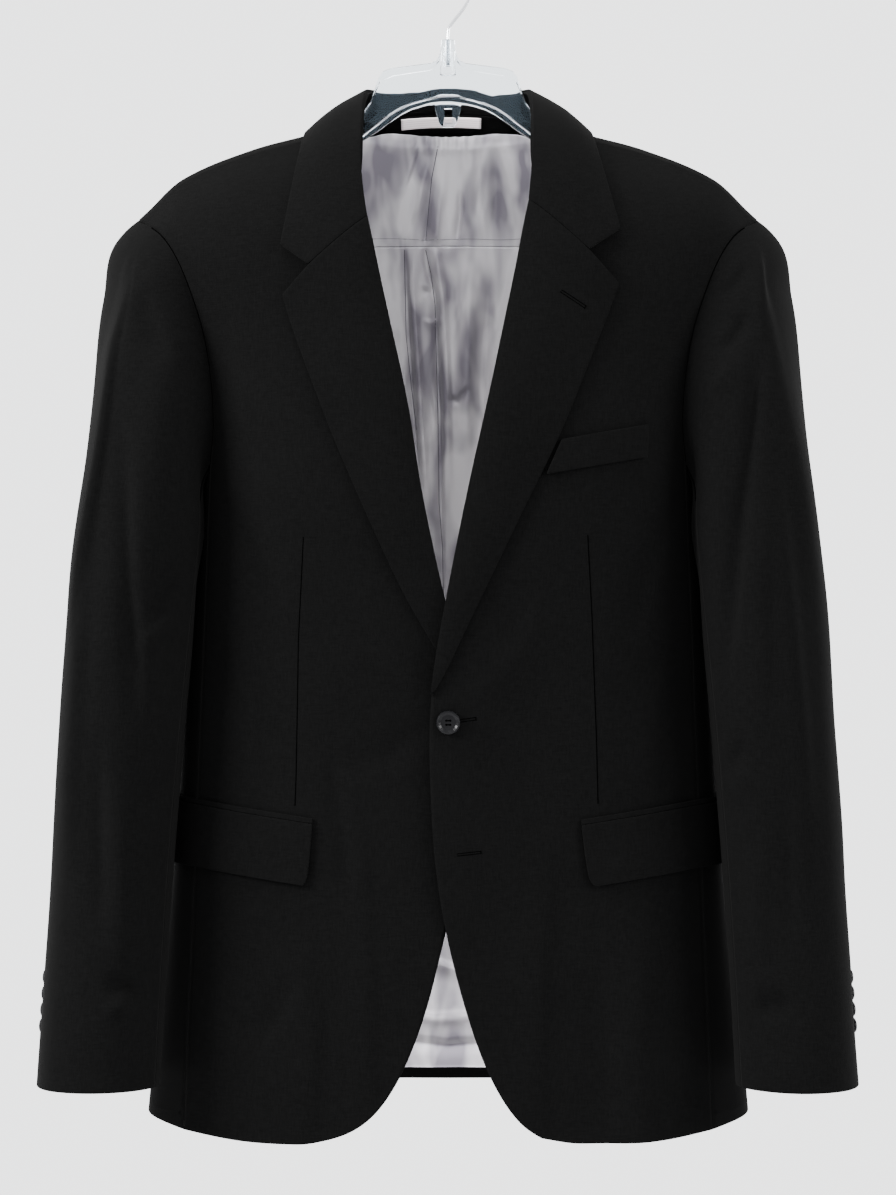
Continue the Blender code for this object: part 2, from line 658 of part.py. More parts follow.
# ---- Body panels -------------------------------------------------------------------------------
def seam_across(height, foot, back=False):
    """How far out the side seams lie at a height."""
    top = (ARMHOLE_BACK[0] if back else ARMHOLE_FRONT[-1]).across
    start = ARMHOLE_FRONT[-1].height
    return mix(top, foot, np.clip((start - height) / (start - HEM), 0, 1))


def panel_rows(inner, outer, slants, side, back):
    """Rows of points and normals between an inner and an outer boundary, (across, height) each.

    A row's slant says how far it follows the shoulder line, from 1 beside it to 0 below.
    """
    shares = np.linspace(0, 1, PANEL_COLUMNS)
    points, normals = [], []
    for (x0, z0), (x1, z1), slant in zip(inner, outer, slants):
        across = mix(x0, x1, shares)
        drops = mix(*(smooth(RIDGE, "height", abs(x)) - z for x, z in ((x0, z0), (x1, z1))), shares)
        followed = smooth(RIDGE, "height", np.abs(across)) - drops
        height = slant * followed + (1 - slant) * mix(z0, z1, shares)
        points.append(body_point(across, height, side, back))
        normals.append(surface_normal(lambda a, h: body_point(a, h, side, back), across, height))
    return np.array(points), np.array(normals)


def shoulder_seam(side, gap):
    """The seam's inner and outer ends, a gap above or below its line."""
    inner = FRONT_EDGE[side][-1].across
    return [
        (inner, float(smooth(RIDGE, "height", inner)) - SHOULDER_DROP + gap),
        (SHOULDER_SEAM_END, float(smooth(RIDGE, "height", SHOULDER_SEAM_END)) - SHOULDER_END_DROP + gap),
    ]


def front_rows(side):
    seam_in, seam_out = shoulder_seam(side, -SEAM / 2)
    heights = [seam_in[1], *FRONT_INNER_HEIGHTS, *LOW_ROWS]
    inner = [(float(smooth(FRONT_EDGE[side], "across", z)), z) for z in heights]
    outer = [seam_out, *((hole.across, hole.height) for hole in ARMHOLE_FRONT)]
    outer[-1] = (outer[-1][0] - SEAM / 2, outer[-1][1])
    for height in LOW_ROWS:
        outer.append((seam_across(height, FRONT_SIDE_SEAM_FOOT) - SEAM / 2, height))
    return panel_rows(inner, outer, FRONT_SLANTS, side, False)


def back_rows(side):
    seam_in, seam_out = shoulder_seam(side, SEAM / 2)
    seam, seam_normal = panel_rows([seam_in], [seam_out], [1], side, False)
    across = np.linspace(seam_in[0], RIDGE_END, PANEL_COLUMNS)
    ridge, top_normal = ridge_point(across, side), ridge_normal(across, side)
    inner = [*NECK_EDGE, *((0, z) for z in (*BACK_CENTRE_HEIGHTS, *LOW_ROWS))]
    inner = [(max(x, SEAM / 2), z) for x, z in inner]
    outer = [(hole.across, hole.height) for hole in reversed(ARMHOLE_BACK)]
    outer[-1] = (outer[-1][0] - SEAM / 2, outer[-1][1])
    for height in LOW_ROWS:
        outer.append((seam_across(height, BACK_SIDE_SEAM_FOOT, True) - SEAM / 2, height))
    low, low_normal = panel_rows(inner, outer, BACK_SLANTS, side, True)
    points = np.concatenate([seam, ridge[None], low])
    return points, np.concatenate([seam_normal, top_normal[None], low_normal])


def side_rows(side):
    rows = []
    front = ARMHOLE_FRONT[-1]
    back = ARMHOLE_BACK[0]
    gap = SEAM / 2
    top = [(-ring_depth(front.across + gap, front.height, False), front.height)]
    top += [(hole.depth, hole.height) for hole in ARMHOLE_UNDER]
    top += [(ring_depth(back.across + gap, back.height, True), back.height)]
    rows.append(np.array(top, float))
    for height in LOW_ROWS:
        first = -ring_depth(seam_across(height, FRONT_SIDE_SEAM_FOOT) + gap, height, False)
        last = ring_depth(seam_across(height, BACK_SIDE_SEAM_FOOT, True) + gap, height, True)
        depths = mix(first, last, np.linspace(0, 1, len(top)))
        rows.append(np.stack([depths, np.full(len(top), height)], -1))
    rows = np.array(rows)
    depth, height = rows[..., 0], rows[..., 1]
    normals = surface_normal(lambda d, h: side_point(d, h, side), depth, height)
    return side_point(depth, height, side), normals


def add_panel(name, rows, thickness, finish):
    points, normals = rows
    return add_wall(name, points, points - normals * thickness, finish)


# ---- Sleeves -----------------------------------------------------------------------------------
def armhole_points(side):
    """The armhole's stations, from the shoulder seam down the front and up the back."""
    front = [shoulder_seam(side, 0)[1]]
    front += [(hole.across, hole.height) for hole in ARMHOLE_FRONT]
    across, height = np.array(front).T
    points = [body_point(across, height, side)]
    height = np.array([hole.height for hole in ARMHOLE_UNDER])
    points.append(side_point([hole.depth for hole in ARMHOLE_UNDER], height, side))
    across, height = np.array([(hole.across, hole.height) for hole in ARMHOLE_BACK]).T
    points.append(body_point(across, height, side, back=True))
    points.append(ridge_point(np.array([RIDGE_END]), side))
    return np.concatenate(points)


def sleeve_centre(height, side):
    across = smooth(SLEEVE_RINGS, "across", height)
    return np.stack([side * across, smooth(SLEEVE_RINGS, "depth", height), height + 0 * across], -1)


def sleeve_lift(degrees, height, side):
    lift = np.zeros(np.broadcast(degrees, height).shape)
    for fold in SLEEVE_FOLDS[side]:
        run = np.clip((fold.top - height) / (fold.top - fold.foot), 0, 1)
        middle = fold.degrees_top + (fold.degrees_foot - fold.degrees_top) * run
        away = (degrees - middle + 180) % 360 - 180
        lift = lift + fold.depth * np.sin(math.pi * run) * np.exp(-((away / fold.half_width) ** 2))
    return lift


def sleeve_ring(degrees, height, side):
    """Points round the sleeve, 0 degrees outwards and 90 forwards."""
    angle = np.radians(degrees)
    lift = sleeve_lift(degrees, height, side)
    wide = smooth(SLEEVE_RINGS, "half_width", height) + lift
    deep = smooth(SLEEVE_RINGS, "half_depth", height) + lift
    centre = sleeve_centre(height, side)
    shift = np.stack([side * wide * np.cos(angle), -deep * np.sin(angle), 0 * angle], -1)
    return centre + shift


def clear_of_body(points, side):
    """Moves sleeve points towards the sleeve's middle until they are clear of the body."""
    height = points[..., 2]
    centre = sleeve_centre(height, side)
    half_width = smooth(BODY_RINGS, "half_width", height) + SLEEVE_ROOM
    share = np.zeros(height.shape)
    for _ in range(NUDGES):
        place = points + (centre - points) * share[..., None]
        behind = place[..., 1] > 0
        reach = SLEEVE_ROOM + np.where(
            behind,
            smooth(BODY_RINGS, "back_depth", height),
            smooth(BODY_RINGS, "front_depth", height),
        )
        inside = np.abs(place[..., 0] / half_width) ** RING_POWER
        inside = inside + np.abs(place[..., 1] / reach) ** RING_POWER
        share = np.where(inside < 1, share + NUDGE_SHARE, share)
    return points + (centre - points) * share[..., None]


def sleeve_rows(side):
    """The whole sleeve as rows of rings, and its normals."""
    hole = armhole_points(side)
    stations = np.arange(len(hole))
    steps = np.linalg.norm(np.roll(hole, -1, axis=0) - hole, axis=1)
    run = np.concatenate([[0], np.cumsum(steps)])
    at_lowest = run[LOWEST_STATION]
    degrees = np.where(
        stations <= LOWEST_STATION,
        LOWEST_DEGREES * run[:-1] / at_lowest,
        LOWEST_DEGREES + (360 - LOWEST_DEGREES) * (run[:-1] - at_lowest) / (run[-1] - at_lowest),
    )
    foot = clear_of_body(sleeve_ring(degrees, np.full(len(hole), CAP_FOOT), side), side)
    start = np.stack([smooth(CAP_STARTS, column, stations) for column in ("out", "depth", "height")], -1)
    start = unit(start * [side, 1, 1])
    first = hole + start * SEAM
    length = np.linalg.norm(foot - first, axis=1, keepdims=True)
    above = foot + unit(np.array(CAP_FOOT_WAY) * [side, 1, 1]) * length * CAP_FOOT_PULL
    below = first + start * length * CAP_START_PULL
    rows = []
    for t in CAP_SHARES:
        rows.append(
            (1 - t) ** 3 * first
            + 3 * (1 - t) ** 2 * t * below
            + 3 * (1 - t) * t**2 * above
            + t**3 * foot
        )
    for row in rows[1:]:
        row += unit(row - sleeve_centre(row[:, 2], side)) * sleeve_lift(degrees, row[:, 2], side)[:, None]
    rows += [
        clear_of_body(sleeve_ring(degrees, np.full(len(hole), height), side), side)
        for height in SLEEVE_HEIGHTS
    ]
    points = np.array(rows)
    wrapped = np.concatenate([points[:, -2:], points, points[:, :2]], 1)
    inside = np.mean(points, axis=1, keepdims=True)
    return points, grid_normal(wrapped, inside)[:, 2:-2]


def add_sleeve(name, side):
    points, normals = sleeve_rows(side)
    count = points.shape[1]
    under = list(range(FRONT_SLEEVE_SEAM, BACK_SLEEVE_SEAM + 1))
    upper = [*range(BACK_SLEEVE_SEAM, count), *range(FRONT_SLEEVE_SEAM + 1)]
    for part, columns in (("top", upper), ("under", under)):
        outer = points[:, columns].copy()
        outer[:, 0] += unit(outer[:, 1] - outer[:, 0]) * SEAM / 2
        outer[:, -1] += unit(outer[:, -2] - outer[:, -1]) * SEAM / 2
        inner = outer - normals[:, columns] * WALL
        add_wall(f"sleeve_{part}_{name}", outer, inner, wool)


# ---- Lapels, collar and stand ------------------------------------------------------------------
def on_front(across, height, side, lift):
    """Points lifted square off the front, and the direction they were lifted in."""
    across, height = np.asarray(across, float), np.asarray(height, float)
    normal = surface_normal(lambda a, h: body_point(a, h, side), across, height)
    return body_point(across, height, side) + normal * np.asarray(lift)[..., None], normal


def gorge_line(side, end, gap):
    """The seam between lapel and collar, then on along the notch to a tip."""
    roll_height = LAPEL_ROWS[side][0].roll_height + gap
    roll = (float(smooth(FRONT_EDGE[side], "across", roll_height)), roll_height)
    corner = np.array(NOTCH[side]) + [0, gap]
    places = []
    for share in LAPEL_SHARES:
        if share <= NOTCH_SHARE:
            places.append(mix(roll, corner, share / NOTCH_SHARE))
        else:
            places.append(mix(corner, end, (share - NOTCH_SHARE) / (1 - NOTCH_SHARE)))
    return np.array(places)


def belly_lift(belly, base):
    """The lapel's rise over its width, fullest nearer the roll line."""
    return base + belly * np.sin(math.pi * np.array(LAPEL_SHARES) ** BELLY_POWER)


def add_lapel(name, side):
    rows = LAPEL_ROWS[side]
    shares = np.array(LAPEL_SHARES)
    places = [gorge_line(side, (rows[0].edge_across, rows[0].edge_height), -SEAM / 2)]
    for row in rows[1:]:
        roll = (float(smooth(FRONT_EDGE[side], "across", row.roll_height)), row.roll_height)
        places.append(mix(roll, (row.edge_across, row.edge_height), shares))
    kink = places[0] - mix(places[0][0], places[0][-1], shares)
    for step, fade in enumerate(NOTCH_FADES, 1):
        places[step] = places[step] + kink * fade
    places = np.array(places)
    lifts = []
    for step, row in enumerate(rows):
        fade = GORGE_LIFT_FADES[step] if step < len(GORGE_LIFT_FADES) else 0
        lifts.append(belly_lift(row.belly, LAPEL_LIFT + (GORGE_LIFT - LAPEL_LIFT) * fade))
    outer, normal = on_front(places[..., 0], places[..., 1], side, np.array(lifts))
    return add_wall(f"lapel_{name}", outer, outer - normal * WALL, wool)


def collar_edge(row, side, back):
    if row.edge_height is None:
        return ridge_point(row.edge_across, side) + [0, 0, COLLAR_LIFT]
    place = np.array(row.edge_across), np.array(row.edge_height)
    normal = surface_normal(lambda a, h: body_point(a, h, side, back), *place)
    return body_point(*place, side, back) + normal * COLLAR_LIFT


def collar_half(side):
    """Rows of the turned collar from the gorge to the centre back, and the gorge's normals."""
    shares = np.array(LAPEL_SHARES)
    places = gorge_line(side, COLLAR_TIP[side], SEAM / 2)
    lifts = belly_lift(LAPEL_ROWS[side][0].belly, GORGE_LIFT)
    first, gorge_normal = on_front(places[:, 0], places[:, 1], side, lifts)
    kink = first - mix(first[0], first[-1], shares)
    rows = [first]
    listed = [(row, False) for row in COLLAR_FRONT[side]] + [(COLLAR_RIDGE, False)]
    listed += [(row, True) for row in COLLAR_BACK]
    for step, (row, back) in enumerate(listed):
        roll = np.array([side * row.roll_across, row.roll_depth, row.roll_height])
        edge = collar_edge(row, side, back)
        line = mix(roll, edge, shares)
        lean = np.clip(roll[1] / COLLAR_LEAN_DEPTH, -1, 1)
        away = unit(np.array(COLLAR_BULGE_WAY) * [side, lean, 1])
        line = line + away * (COLLAR_BULGE * np.sin(math.pi * shares))[:, None]
        fade = COLLAR_NOTCH_FADES[step] if step < len(COLLAR_NOTCH_FADES) else 0
        rows.append(line + kink * fade)
    return np.array(rows), gorge_normal


def collar_rows():
    """The turned collar from the right gorge round to the left one, and its normals."""
    right, right_normal = collar_half(-1)
    left, left_normal = collar_half(1)
    points = np.concatenate([right, left[-2::-1]])
    normals = grid_normal(points, np.array([0.0, 0.0, -0.2]))
    normals[0], normals[-1] = right_normal, left_normal
    return points, normals


def neck_rim():
    """Corners of the panels' neck edge from the right front round to the left, with normals."""
    halves = []
    for side in (-1, 1):
        fronts, front_normals = front_rows(side)
        backs, back_normals = back_rows(side)
        shoulder = (fronts[0, 0] + backs[0, 0]) / 2
        picked = [fronts[2, 0], fronts[1, 0], shoulder, *backs[1:6, 0]]
        normals = [front_normals[2, 0], front_normals[1, 0], front_normals[0, 0], *back_normals[1:6, 0]]
        halves.append((np.array(picked), np.array(normals)))
    (right, right_normal), (left, left_normal) = halves
    right[-1, 0] = 0.0
    return np.concatenate([right, left[-2::-1]]), np.concatenate([right_normal, left_normal[-2::-1]])


def add_collar_stand(collar, collar_normal):
    """The standing inner leaf, from the neck edge to just beneath the collar's folded edge."""
    foot, foot_normal = neck_rim()
    first = (len(collar) - len(foot)) // 2
    top = (collar - collar_normal * (WALL + 1.5 * SEAM))[first : first + len(foot), 0]
    away = top - foot
    away -= foot_normal * np.sum(away * foot_normal, axis=1, keepdims=True)
    foot = foot + unit(away) * SEAM
    points = np.stack([foot, mix(foot, top, 0.5), top], 1)
    normals = grid_normal(points, np.array([0.0, 0.0, -0.11]))
    normals[:, 0] = foot_normal
    add_wall("collar_stand", points, points - normals * WALL, wool)


# ---- Pockets -----------------------------------------------------------------------------------
def hip_rows(side, top, drops, starts):
    """Points and normals of a strip round the hip, from the front to under the arm."""
    pocket = POCKETS[side]
    seam = float(seam_across(top, FRONT_SIDE_SEAM_FOOT))
    side_shares = np.array(HIP_SIDE_SHARES)
    points, normals = [], []
    for drop, start in zip(drops, starts):
        across = mix(start, seam, HIP_SHARES)
        height = top - drop + pocket.rise * (across - pocket.front) / POCKET_RISE_RUN
        seam_depth = -ring_depth(seam, height[-1], False)
        depth = mix(seam_depth, POCKET_BACK_DEPTH, side_shares)
        round_height = height[-1] + HIP_SIDE_RISE * side_shares
        points.append(
            np.concatenate([body_point(across, height, side), side_point(depth, round_height, side)])
        )
        normals.append(
            np.concatenate(
                [
                    surface_normal(lambda a, h: body_point(a, h, side), across, height),
                    surface_normal(lambda d, h: side_point(d, h, side), depth, round_height),
                ]
            )
        )
    return np.array(points), np.array(normals)


def add_hip_pocket(name, side):
    pocket = POCKETS[side]
    jet_fall = pocket.jet_top - pocket.flap_top - SEAM
    drops = [0, jet_fall / 2, jet_fall]
    points, normals = hip_rows(side, pocket.jet_top, drops, [pocket.front] * 3)
    outer = points + normals * JET_LIFT
    add_wall(f"pocket_jet_{name}", outer, outer - normals * JET_WALL, wool)
    depth = pocket.flap_top - pocket.foot_height
    slope = pocket.foot_front - pocket.front
    drops = [depth * share for share in FLAP_DROPS]
    starts = [pocket.front + slope * share for share in FLAP_SLOPES]
    points, normals = hip_rows(side, pocket.flap_top, drops, starts)
    outer = points + normals * FLAP_LIFT
    outer[2:] += normals[2:] * FLAP_STAND_OFF
    add_wall(f"pocket_flap_{name}", outer, outer - normals * FLAP_WALL, wool)


def add_breast_welt():
    near_top, far_top, far_foot, near_foot = BREAST_WELT
    shares = np.linspace(0, 1, 5)
    top, foot = mix(near_top, far_top, shares), mix(near_foot, far_foot, shares)
    places = np.array([mix(top, foot, share) for share in (0, 0.5, 1)])
    outer, normal = on_front(places[..., 0], places[..., 1], 1, np.array(WELT_LIFT))
    add_wall("breast_welt", outer, outer - normal * WELT_WALL, wool)


# ---- Lining, facing, label and loop ------------------------------------------------------------
def back_inside(across, height, extra):
    """Points inside the back at signed distances from the centre, and outward normals."""
    across, height = np.broadcast_arrays(np.asarray(across, float), np.asarray(height, float))
    points = np.empty(across.shape + (3,))
    normals = np.empty(across.shape + (3,))
    for side in (-1, 1):
        own = across * side >= 0
        if own.any():
            place = np.abs(across[own]), height[own]
            points[own] = body_point(*place, side, back=True)
            normals[own] = surface_normal(lambda a, h: body_point(a, h, side, True), *place)
    lift = smooth(INSIDE_LIFTS, "lift", height) + extra
    return points - normals * lift[..., None], normals


def add_inside(name, across, top, foot, rows, extra, wall, finish):
    """A strip inside the back between two height curves."""
    rows = np.array([mix(top, foot, share) for share in np.linspace(0, 1, rows)])
    outer, normals = back_inside(np.broadcast_to(across, rows.shape), rows, extra)
    add_wall(name, outer, outer - normals * wall, finish)


def add_back_lining():
    across = LINING_ACROSS * np.linspace(-1, 1, INSIDE_COLUMNS)
    top = smooth(YOKE_TOP, "height", np.abs(across))
    level = np.ones(INSIDE_COLUMNS)
    above, below = level * (YOKE_SEAM + SEAM / 2), level * (YOKE_SEAM - SEAM / 2)
    add_inside("lining_yoke", across, top, above, YOKE_ROWS, 0.0, LINING_WALL, satin)
    add_inside("lining_back", across, below, level * LINING_HEM, LINING_ROWS, 0.0, LINING_WALL, satin)


def neck_height(across):
    """Height of the back panels' neck edge."""
    return smooth(NECK_EDGE, "height", np.abs(across))


def add_neck_pieces():
    across = FACING_ACROSS * np.linspace(-1, 1, INSIDE_COLUMNS)
    top = neck_height(across) - EDGE_DROP
    foot = smooth(YOKE_TOP, "height", np.abs(across)) + 1.5 * SEAM
    add_inside("neck_facing", across, top, foot, FACING_ROWS, 0.0, LINING_WALL, wool)
    lift = LINING_WALL + 1.5 * SEAM
    for name, ends, drops, finish in (
        ("label", LABEL_ENDS, LABEL_DROPS, label_cloth),
        ("hanger_loop", LOOP_ENDS, LOOP_DROPS, wool),
    ):
        across = np.linspace(*ends, SMALL_COLUMNS)
        edge = neck_height(across)
        top, foot = edge - drops[0], edge - drops[1]
        add_inside(name, across, top, foot, SMALL_ROWS, lift, SMALL_WALL, finish)


# ---- Buttons -----------------------------------------------------------------------------------
def cutter_for(form, name):
    mesh = bpy.data.meshes.new(name)
    bmesh.ops.recalc_face_normals(form, faces=form.faces)
    form.to_mesh(mesh)
    form.free()
    made = bpy.data.objects.new(name, mesh)
    made.hide_render = True
    made.display_type = "WIRE"
    cutters.objects.link(made)
    return made


def cut(piece, tool, operation="DIFFERENCE"):
    step = piece.modifiers.new(operation.lower(), "BOOLEAN")
    step.operation = operation
    step.solver = "EXACT"
    step.object = tool


def facing_along(place, normal):
    """Placement with local Z along a normal and local X level."""
    turn = Vector(normal).to_track_quat("Z", "Y").to_matrix().to_4x4()
    return Matrix.Translation(Vector(place)) @ turn


def add_button(name, place, normal, radius, thickness, segments):
    """A dished four-hole button: a turned profile with its holes cut."""
    mesh = bpy.data.meshes.new(name)
    vertices = [(radius * across, 0, thickness * up) for across, up in BUTTON_PROFILE]
    mesh.from_pydata(vertices, [(i, i + 1) for i in range(len(vertices) - 1)], [])
    mesh.materials.append(button_finish)
    made = bpy.data.objects.new(name, mesh)
    made.matrix_world = facing_along(place, normal)
    turned = made.modifiers.new("turned", "SCREW")
    turned.steps = turned.render_steps = segments
    turned.use_merge_vertices = True
    turned.merge_threshold = 0.00001
    turned.use_normal_calculate = True
    turned.use_smooth_shade = False
    blazer.objects.link(made)
    form = bmesh.new()
    for x, y in ((-1, -1), (-1, 1), (1, -1), (1, 1)):
        shift = Vector((x * HOLE_SPREAD * radius, y * HOLE_SPREAD * radius, thickness / 2))
        bmesh.ops.create_cone(
            form,
            cap_ends=True,
            segments=HOLE_SIDES,
            radius1=HOLE_RADIUS * radius,
            radius2=HOLE_RADIUS * radius,
            depth=2 * thickness,
            matrix=Matrix.Translation(shift),
        )
    holes = cutter_for(form, f"{name}_holes")
    holes.matrix_world = made.matrix_world
    cut(made, holes)


def add_front_buttons():
    for name, (across, height), side, thickness in (
        ("button_front", FRONT_BUTTON, 1, FRONT_BUTTON_THICKNESS),
        ("button_lower", LOWER_BUTTON, -1, LOWER_BUTTON_THICKNESS),
    ):
        place, normal = on_front(across, height, side, np.array(BUTTON_LIFT))
        add_button(name, place, normal, FRONT_BUTTON_RADIUS, thickness, FRONT_BUTTON_SEGMENTS)


def add_cuff_buttons(name, side):
    degrees = CUFF_BUTTON_DEGREES + np.array([-1.0, 0.0, 1.0])
    for number, height in enumerate(CUFF_BUTTONS, 1):
        ring = sleeve_ring(degrees, np.full(3, height), side)
        lower = sleeve_ring(degrees, np.full(3, height - 2 * SLOPE_STEP), side)
        normal = unit(np.cross(ring[2] - ring[0], lower[1] - ring[1]))
        normal = normal * np.sign(np.dot(normal, ring[1] - sleeve_centre(np.array(height), side)))
        place = ring[1] + normal * CUFF_BUTTON_LIFT
        add_button(
            f"cuff_button_{name}_{number}", place, normal,
            CUFF_BUTTON_RADIUS, CUFF_BUTTON_THICKNESS, CUFF_BUTTON_SEGMENTS,
        )  # fmt: skip


# ---- Hanger and hook ---------------------------------------------------------------------------
def add_hanger():
    """A webbed plastic hanger with a socket for the hook and a slotted tab."""
    stations = []
    for station in HANGER_STATIONS:
        top = station.top_height
        if top is None:
            top = float(smooth(RIDGE, "height", station.top_across)) - HANGER_ROOM
        stations.append((station.top_across, top, station.low_across, station.low_height))
    mirrored = [(-a, b, -c, d) for a, b, c, d in reversed(stations[1:])]
    rings = []
    for top_across, top_height, low_across, low_height in mirrored + stations:
        front = []
        for share, rim in RIM_SHARES:
            half = (HANGER_WEB + (HANGER_RIM - HANGER_WEB) * rim) / 2
            x, z = mix((top_across, top_height), (low_across, low_height), share)
            front.append((x, -half, z))
        rings.append(front + [(x, -y, z) for x, y, z in reversed(front)])
    form = bmesh.new()
    rows = [[form.verts.new(corner) for corner in ring] for ring in rings]
    count = len(rows[0])
    for here, following in zip(rows, rows[1:]):
        for i in range(count):
            j = (i + 1) % count
            form.faces.new((here[i], here[j], following[j], following[i]))
    for ring in (rows[0], rows[-1]):
        form.faces.new(ring)
    hanger = add_mesh("hanger", form, clear_plastic)
    socket = bmesh.new()
    bmesh.ops.create_cone(
        socket,
        cap_ends=True,
        segments=24,
        radius1=SOCKET_RADIUS * SOCKET_FLARE,
        radius2=SOCKET_RADIUS,
        depth=SOCKET_TOP - SOCKET_FOOT,
        matrix=Matrix.Translation((0, 0, (SOCKET_TOP + SOCKET_FOOT) / 2)),
    )
    cut(hanger, cutter_for(socket, "hanger_socket"), "UNION")
    cut(hanger, cutter_for(prism(TAB_OUTLINE, TAB_THICKNESS), "hanger_tab"), "UNION")
    cut(hanger, cutter_for(prism(TAB_SLOT, 2 * TAB_THICKNESS), "hanger_tab_slot"))
    bore = bmesh.new()
    bmesh.ops.create_cone(
        bore,
        cap_ends=True,
        segments=16,
        radius1=BORE_RADIUS,
        radius2=BORE_RADIUS,
        depth=BORE_LENGTH,
        matrix=Matrix.Translation((0, 0, BORE_FOOT + BORE_LENGTH / 2)),
    )
    cut(hanger, cutter_for(bore, "hanger_bore"))


def prism(outline, thickness):
    """A flat outline in X and Z, given thickness along Y."""
    form = bmesh.new()
    face = form.faces.new([form.verts.new((x, -thickness / 2, z)) for x, z in outline])
    grown = bmesh.ops.extrude_face_region(form, geom=[face])
    moved = [part for part in grown["geom"] if isinstance(part, bmesh.types.BMVert)]
    bmesh.ops.translate(form, verts=moved, vec=(0, thickness, 0))
    return form


def add_hook():
    """The wire hook, from inside the socket round to its open end."""
    centre = HOOK_RADIUS - WIRE_RADIUS
    places = list(HOOK_STEM)
    for degrees in np.arange(HOOK_FIRST_DEGREES, HOOK_LAST_DEGREES + 1, HOOK_STEP_DEGREES):
        angle = math.radians(degrees)
        places.append((HOOK_RADIUS * math.cos(angle), HOOK_RADIUS * math.sin(angle) - centre))
    curve = bpy.data.curves.new("hook", "CURVE")
    curve.dimensions = "3D"
    line = curve.splines.new("POLY")
    line.points.add(len(places) - 1)
    for point, (x, z) in zip(line.points, places):
        point.co = (x, 0, z, 1)
    curve.bevel_depth = WIRE_RADIUS
    curve.bevel_resolution = 3
    curve.use_fill_caps = True
    curve.materials.append(steel)
    blazer.objects.link(bpy.data.objects.new("hook", curve))


# ---- The object --------------------------------------------------------------------------------
for old in list(bpy.data.objects):
    bpy.data.objects.remove(old)
blazer = bpy.data.collections.new("blazer_on_hanger")
bpy.context.scene.collection.children.link(blazer)
cutters = bpy.data.collections.new("cutters")
bpy.context.scene.collection.children.link(cutters)
wool = material("black_wool", (0.010, 0.010, 0.011), 0.85)
satin = material("grey_satin", (0.42, 0.41, 0.42), 0.45)
label_cloth = material("label_cloth", (0.70, 0.64, 0.64), 0.8)
button_finish = material("black_button", (0.008, 0.008, 0.009), 0.35)
clear_plastic = material("clear_plastic", (0.90, 0.92, 0.93), 0.12, transmission=0.9)
steel = material("hook_steel", (0.60, 0.60, 0.61), 0.25, metallic=1.0)

for name, side in (("right", -1), ("left", 1)):
    add_panel(f"front_{name}", front_rows(side), WALL, wool)
    add_panel(f"side_{name}", side_rows(side), WALL, wool)
    add_panel(f"back_{name}", back_rows(side), WALL, wool)
    add_sleeve(name, side)
    add_lapel(name, side)
    add_hip_pocket(name, side)
    add_cuff_buttons(name, side)
turned_collar = collar_rows()
add_wall("collar", turned_collar[0], turned_collar[0] - turned_collar[1] * WALL, wool)
add_collar_stand(*turned_collar)
add_breast_welt()
add_back_lining()
add_neck_pieces()
add_front_buttons()
add_hanger()
add_hook()
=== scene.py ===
import math

import bmesh
import bpy
import numpy as np
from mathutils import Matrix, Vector, noise
from mathutils.bvhtree import BVHTree


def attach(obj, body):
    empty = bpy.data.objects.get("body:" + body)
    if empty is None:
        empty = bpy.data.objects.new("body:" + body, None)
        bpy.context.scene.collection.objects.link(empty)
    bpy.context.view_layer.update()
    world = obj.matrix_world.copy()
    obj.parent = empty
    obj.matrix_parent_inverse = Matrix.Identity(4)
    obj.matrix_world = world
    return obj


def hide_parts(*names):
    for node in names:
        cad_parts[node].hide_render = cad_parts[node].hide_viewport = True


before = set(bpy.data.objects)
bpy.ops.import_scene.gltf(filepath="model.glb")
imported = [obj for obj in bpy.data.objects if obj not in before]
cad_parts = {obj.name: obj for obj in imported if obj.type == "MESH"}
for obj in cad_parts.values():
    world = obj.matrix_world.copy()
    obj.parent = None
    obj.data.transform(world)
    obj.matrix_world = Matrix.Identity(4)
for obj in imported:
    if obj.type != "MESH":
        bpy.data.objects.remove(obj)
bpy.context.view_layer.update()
print("frame loaded")

mm = 0.001
sides = {"right": -1, "left": 1}


# helpers for colours and shader nodes
def linear(hexColour):
    channels = [int(hexColour[i : i + 2], 16) / 255 for i in (1, 3, 5)]
    return [c / 12.92 if c <= 0.04045 else ((c + 0.055) / 1.055) ** 2.4 for c in channels] + [1]


def addNode(tree, kind, values=None, links=None, **settings):
    node = tree.nodes.new(kind)
    for setting, value in settings.items():
        setattr(node, setting, value)
    for socket, value in (values or {}).items():
        node.inputs[socket].default_value = value
    for socket, source in (links or {}).items():
        tree.links.new(source, node.inputs[socket])
    return node


def newMaterial(name, values):
    material = bpy.data.materials.new(name)
    material.use_nodes = True
    shader = material.node_tree.nodes["Principled BSDF"]
    for socket, value in values.items():
        shader.inputs[socket].default_value = value
    return material, material.node_tree, shader


def placeInMillimetres(tree, stretch=(1, 1, 1)):
    # object coordinates are world metres here, so this counts millimetres over each thread's size
    where = addNode(tree, "ShaderNodeTexCoord").outputs["Object"]
    scale = [1 / (mm * size) for size in stretch]
    mapped = addNode(tree, "ShaderNodeMapping", {"Scale": scale}, {"Vector": where})
    return mapped.outputs["Vector"]


mixShare, mixFirst, mixSecond, mixedColour = 0, 6, 7, 2  # a mix node's colour sockets, by number


# materials, each with its sizes beside it
woolLook = {
    "dark": "#040404",
    "light": "#060606",
    "threadWidth": 0.9,  # mm, real worsted is 0.4, drawn coarser so that it shows
    "threadLength": 6,
    "mottle": 60,  # mm, broad unevenness of the dye
    "mottleShare": 0.3,
    "contrast": (0.85, 1.45),
    "weaveDepth": 0.25,
    "fuzz": 0.014,
}


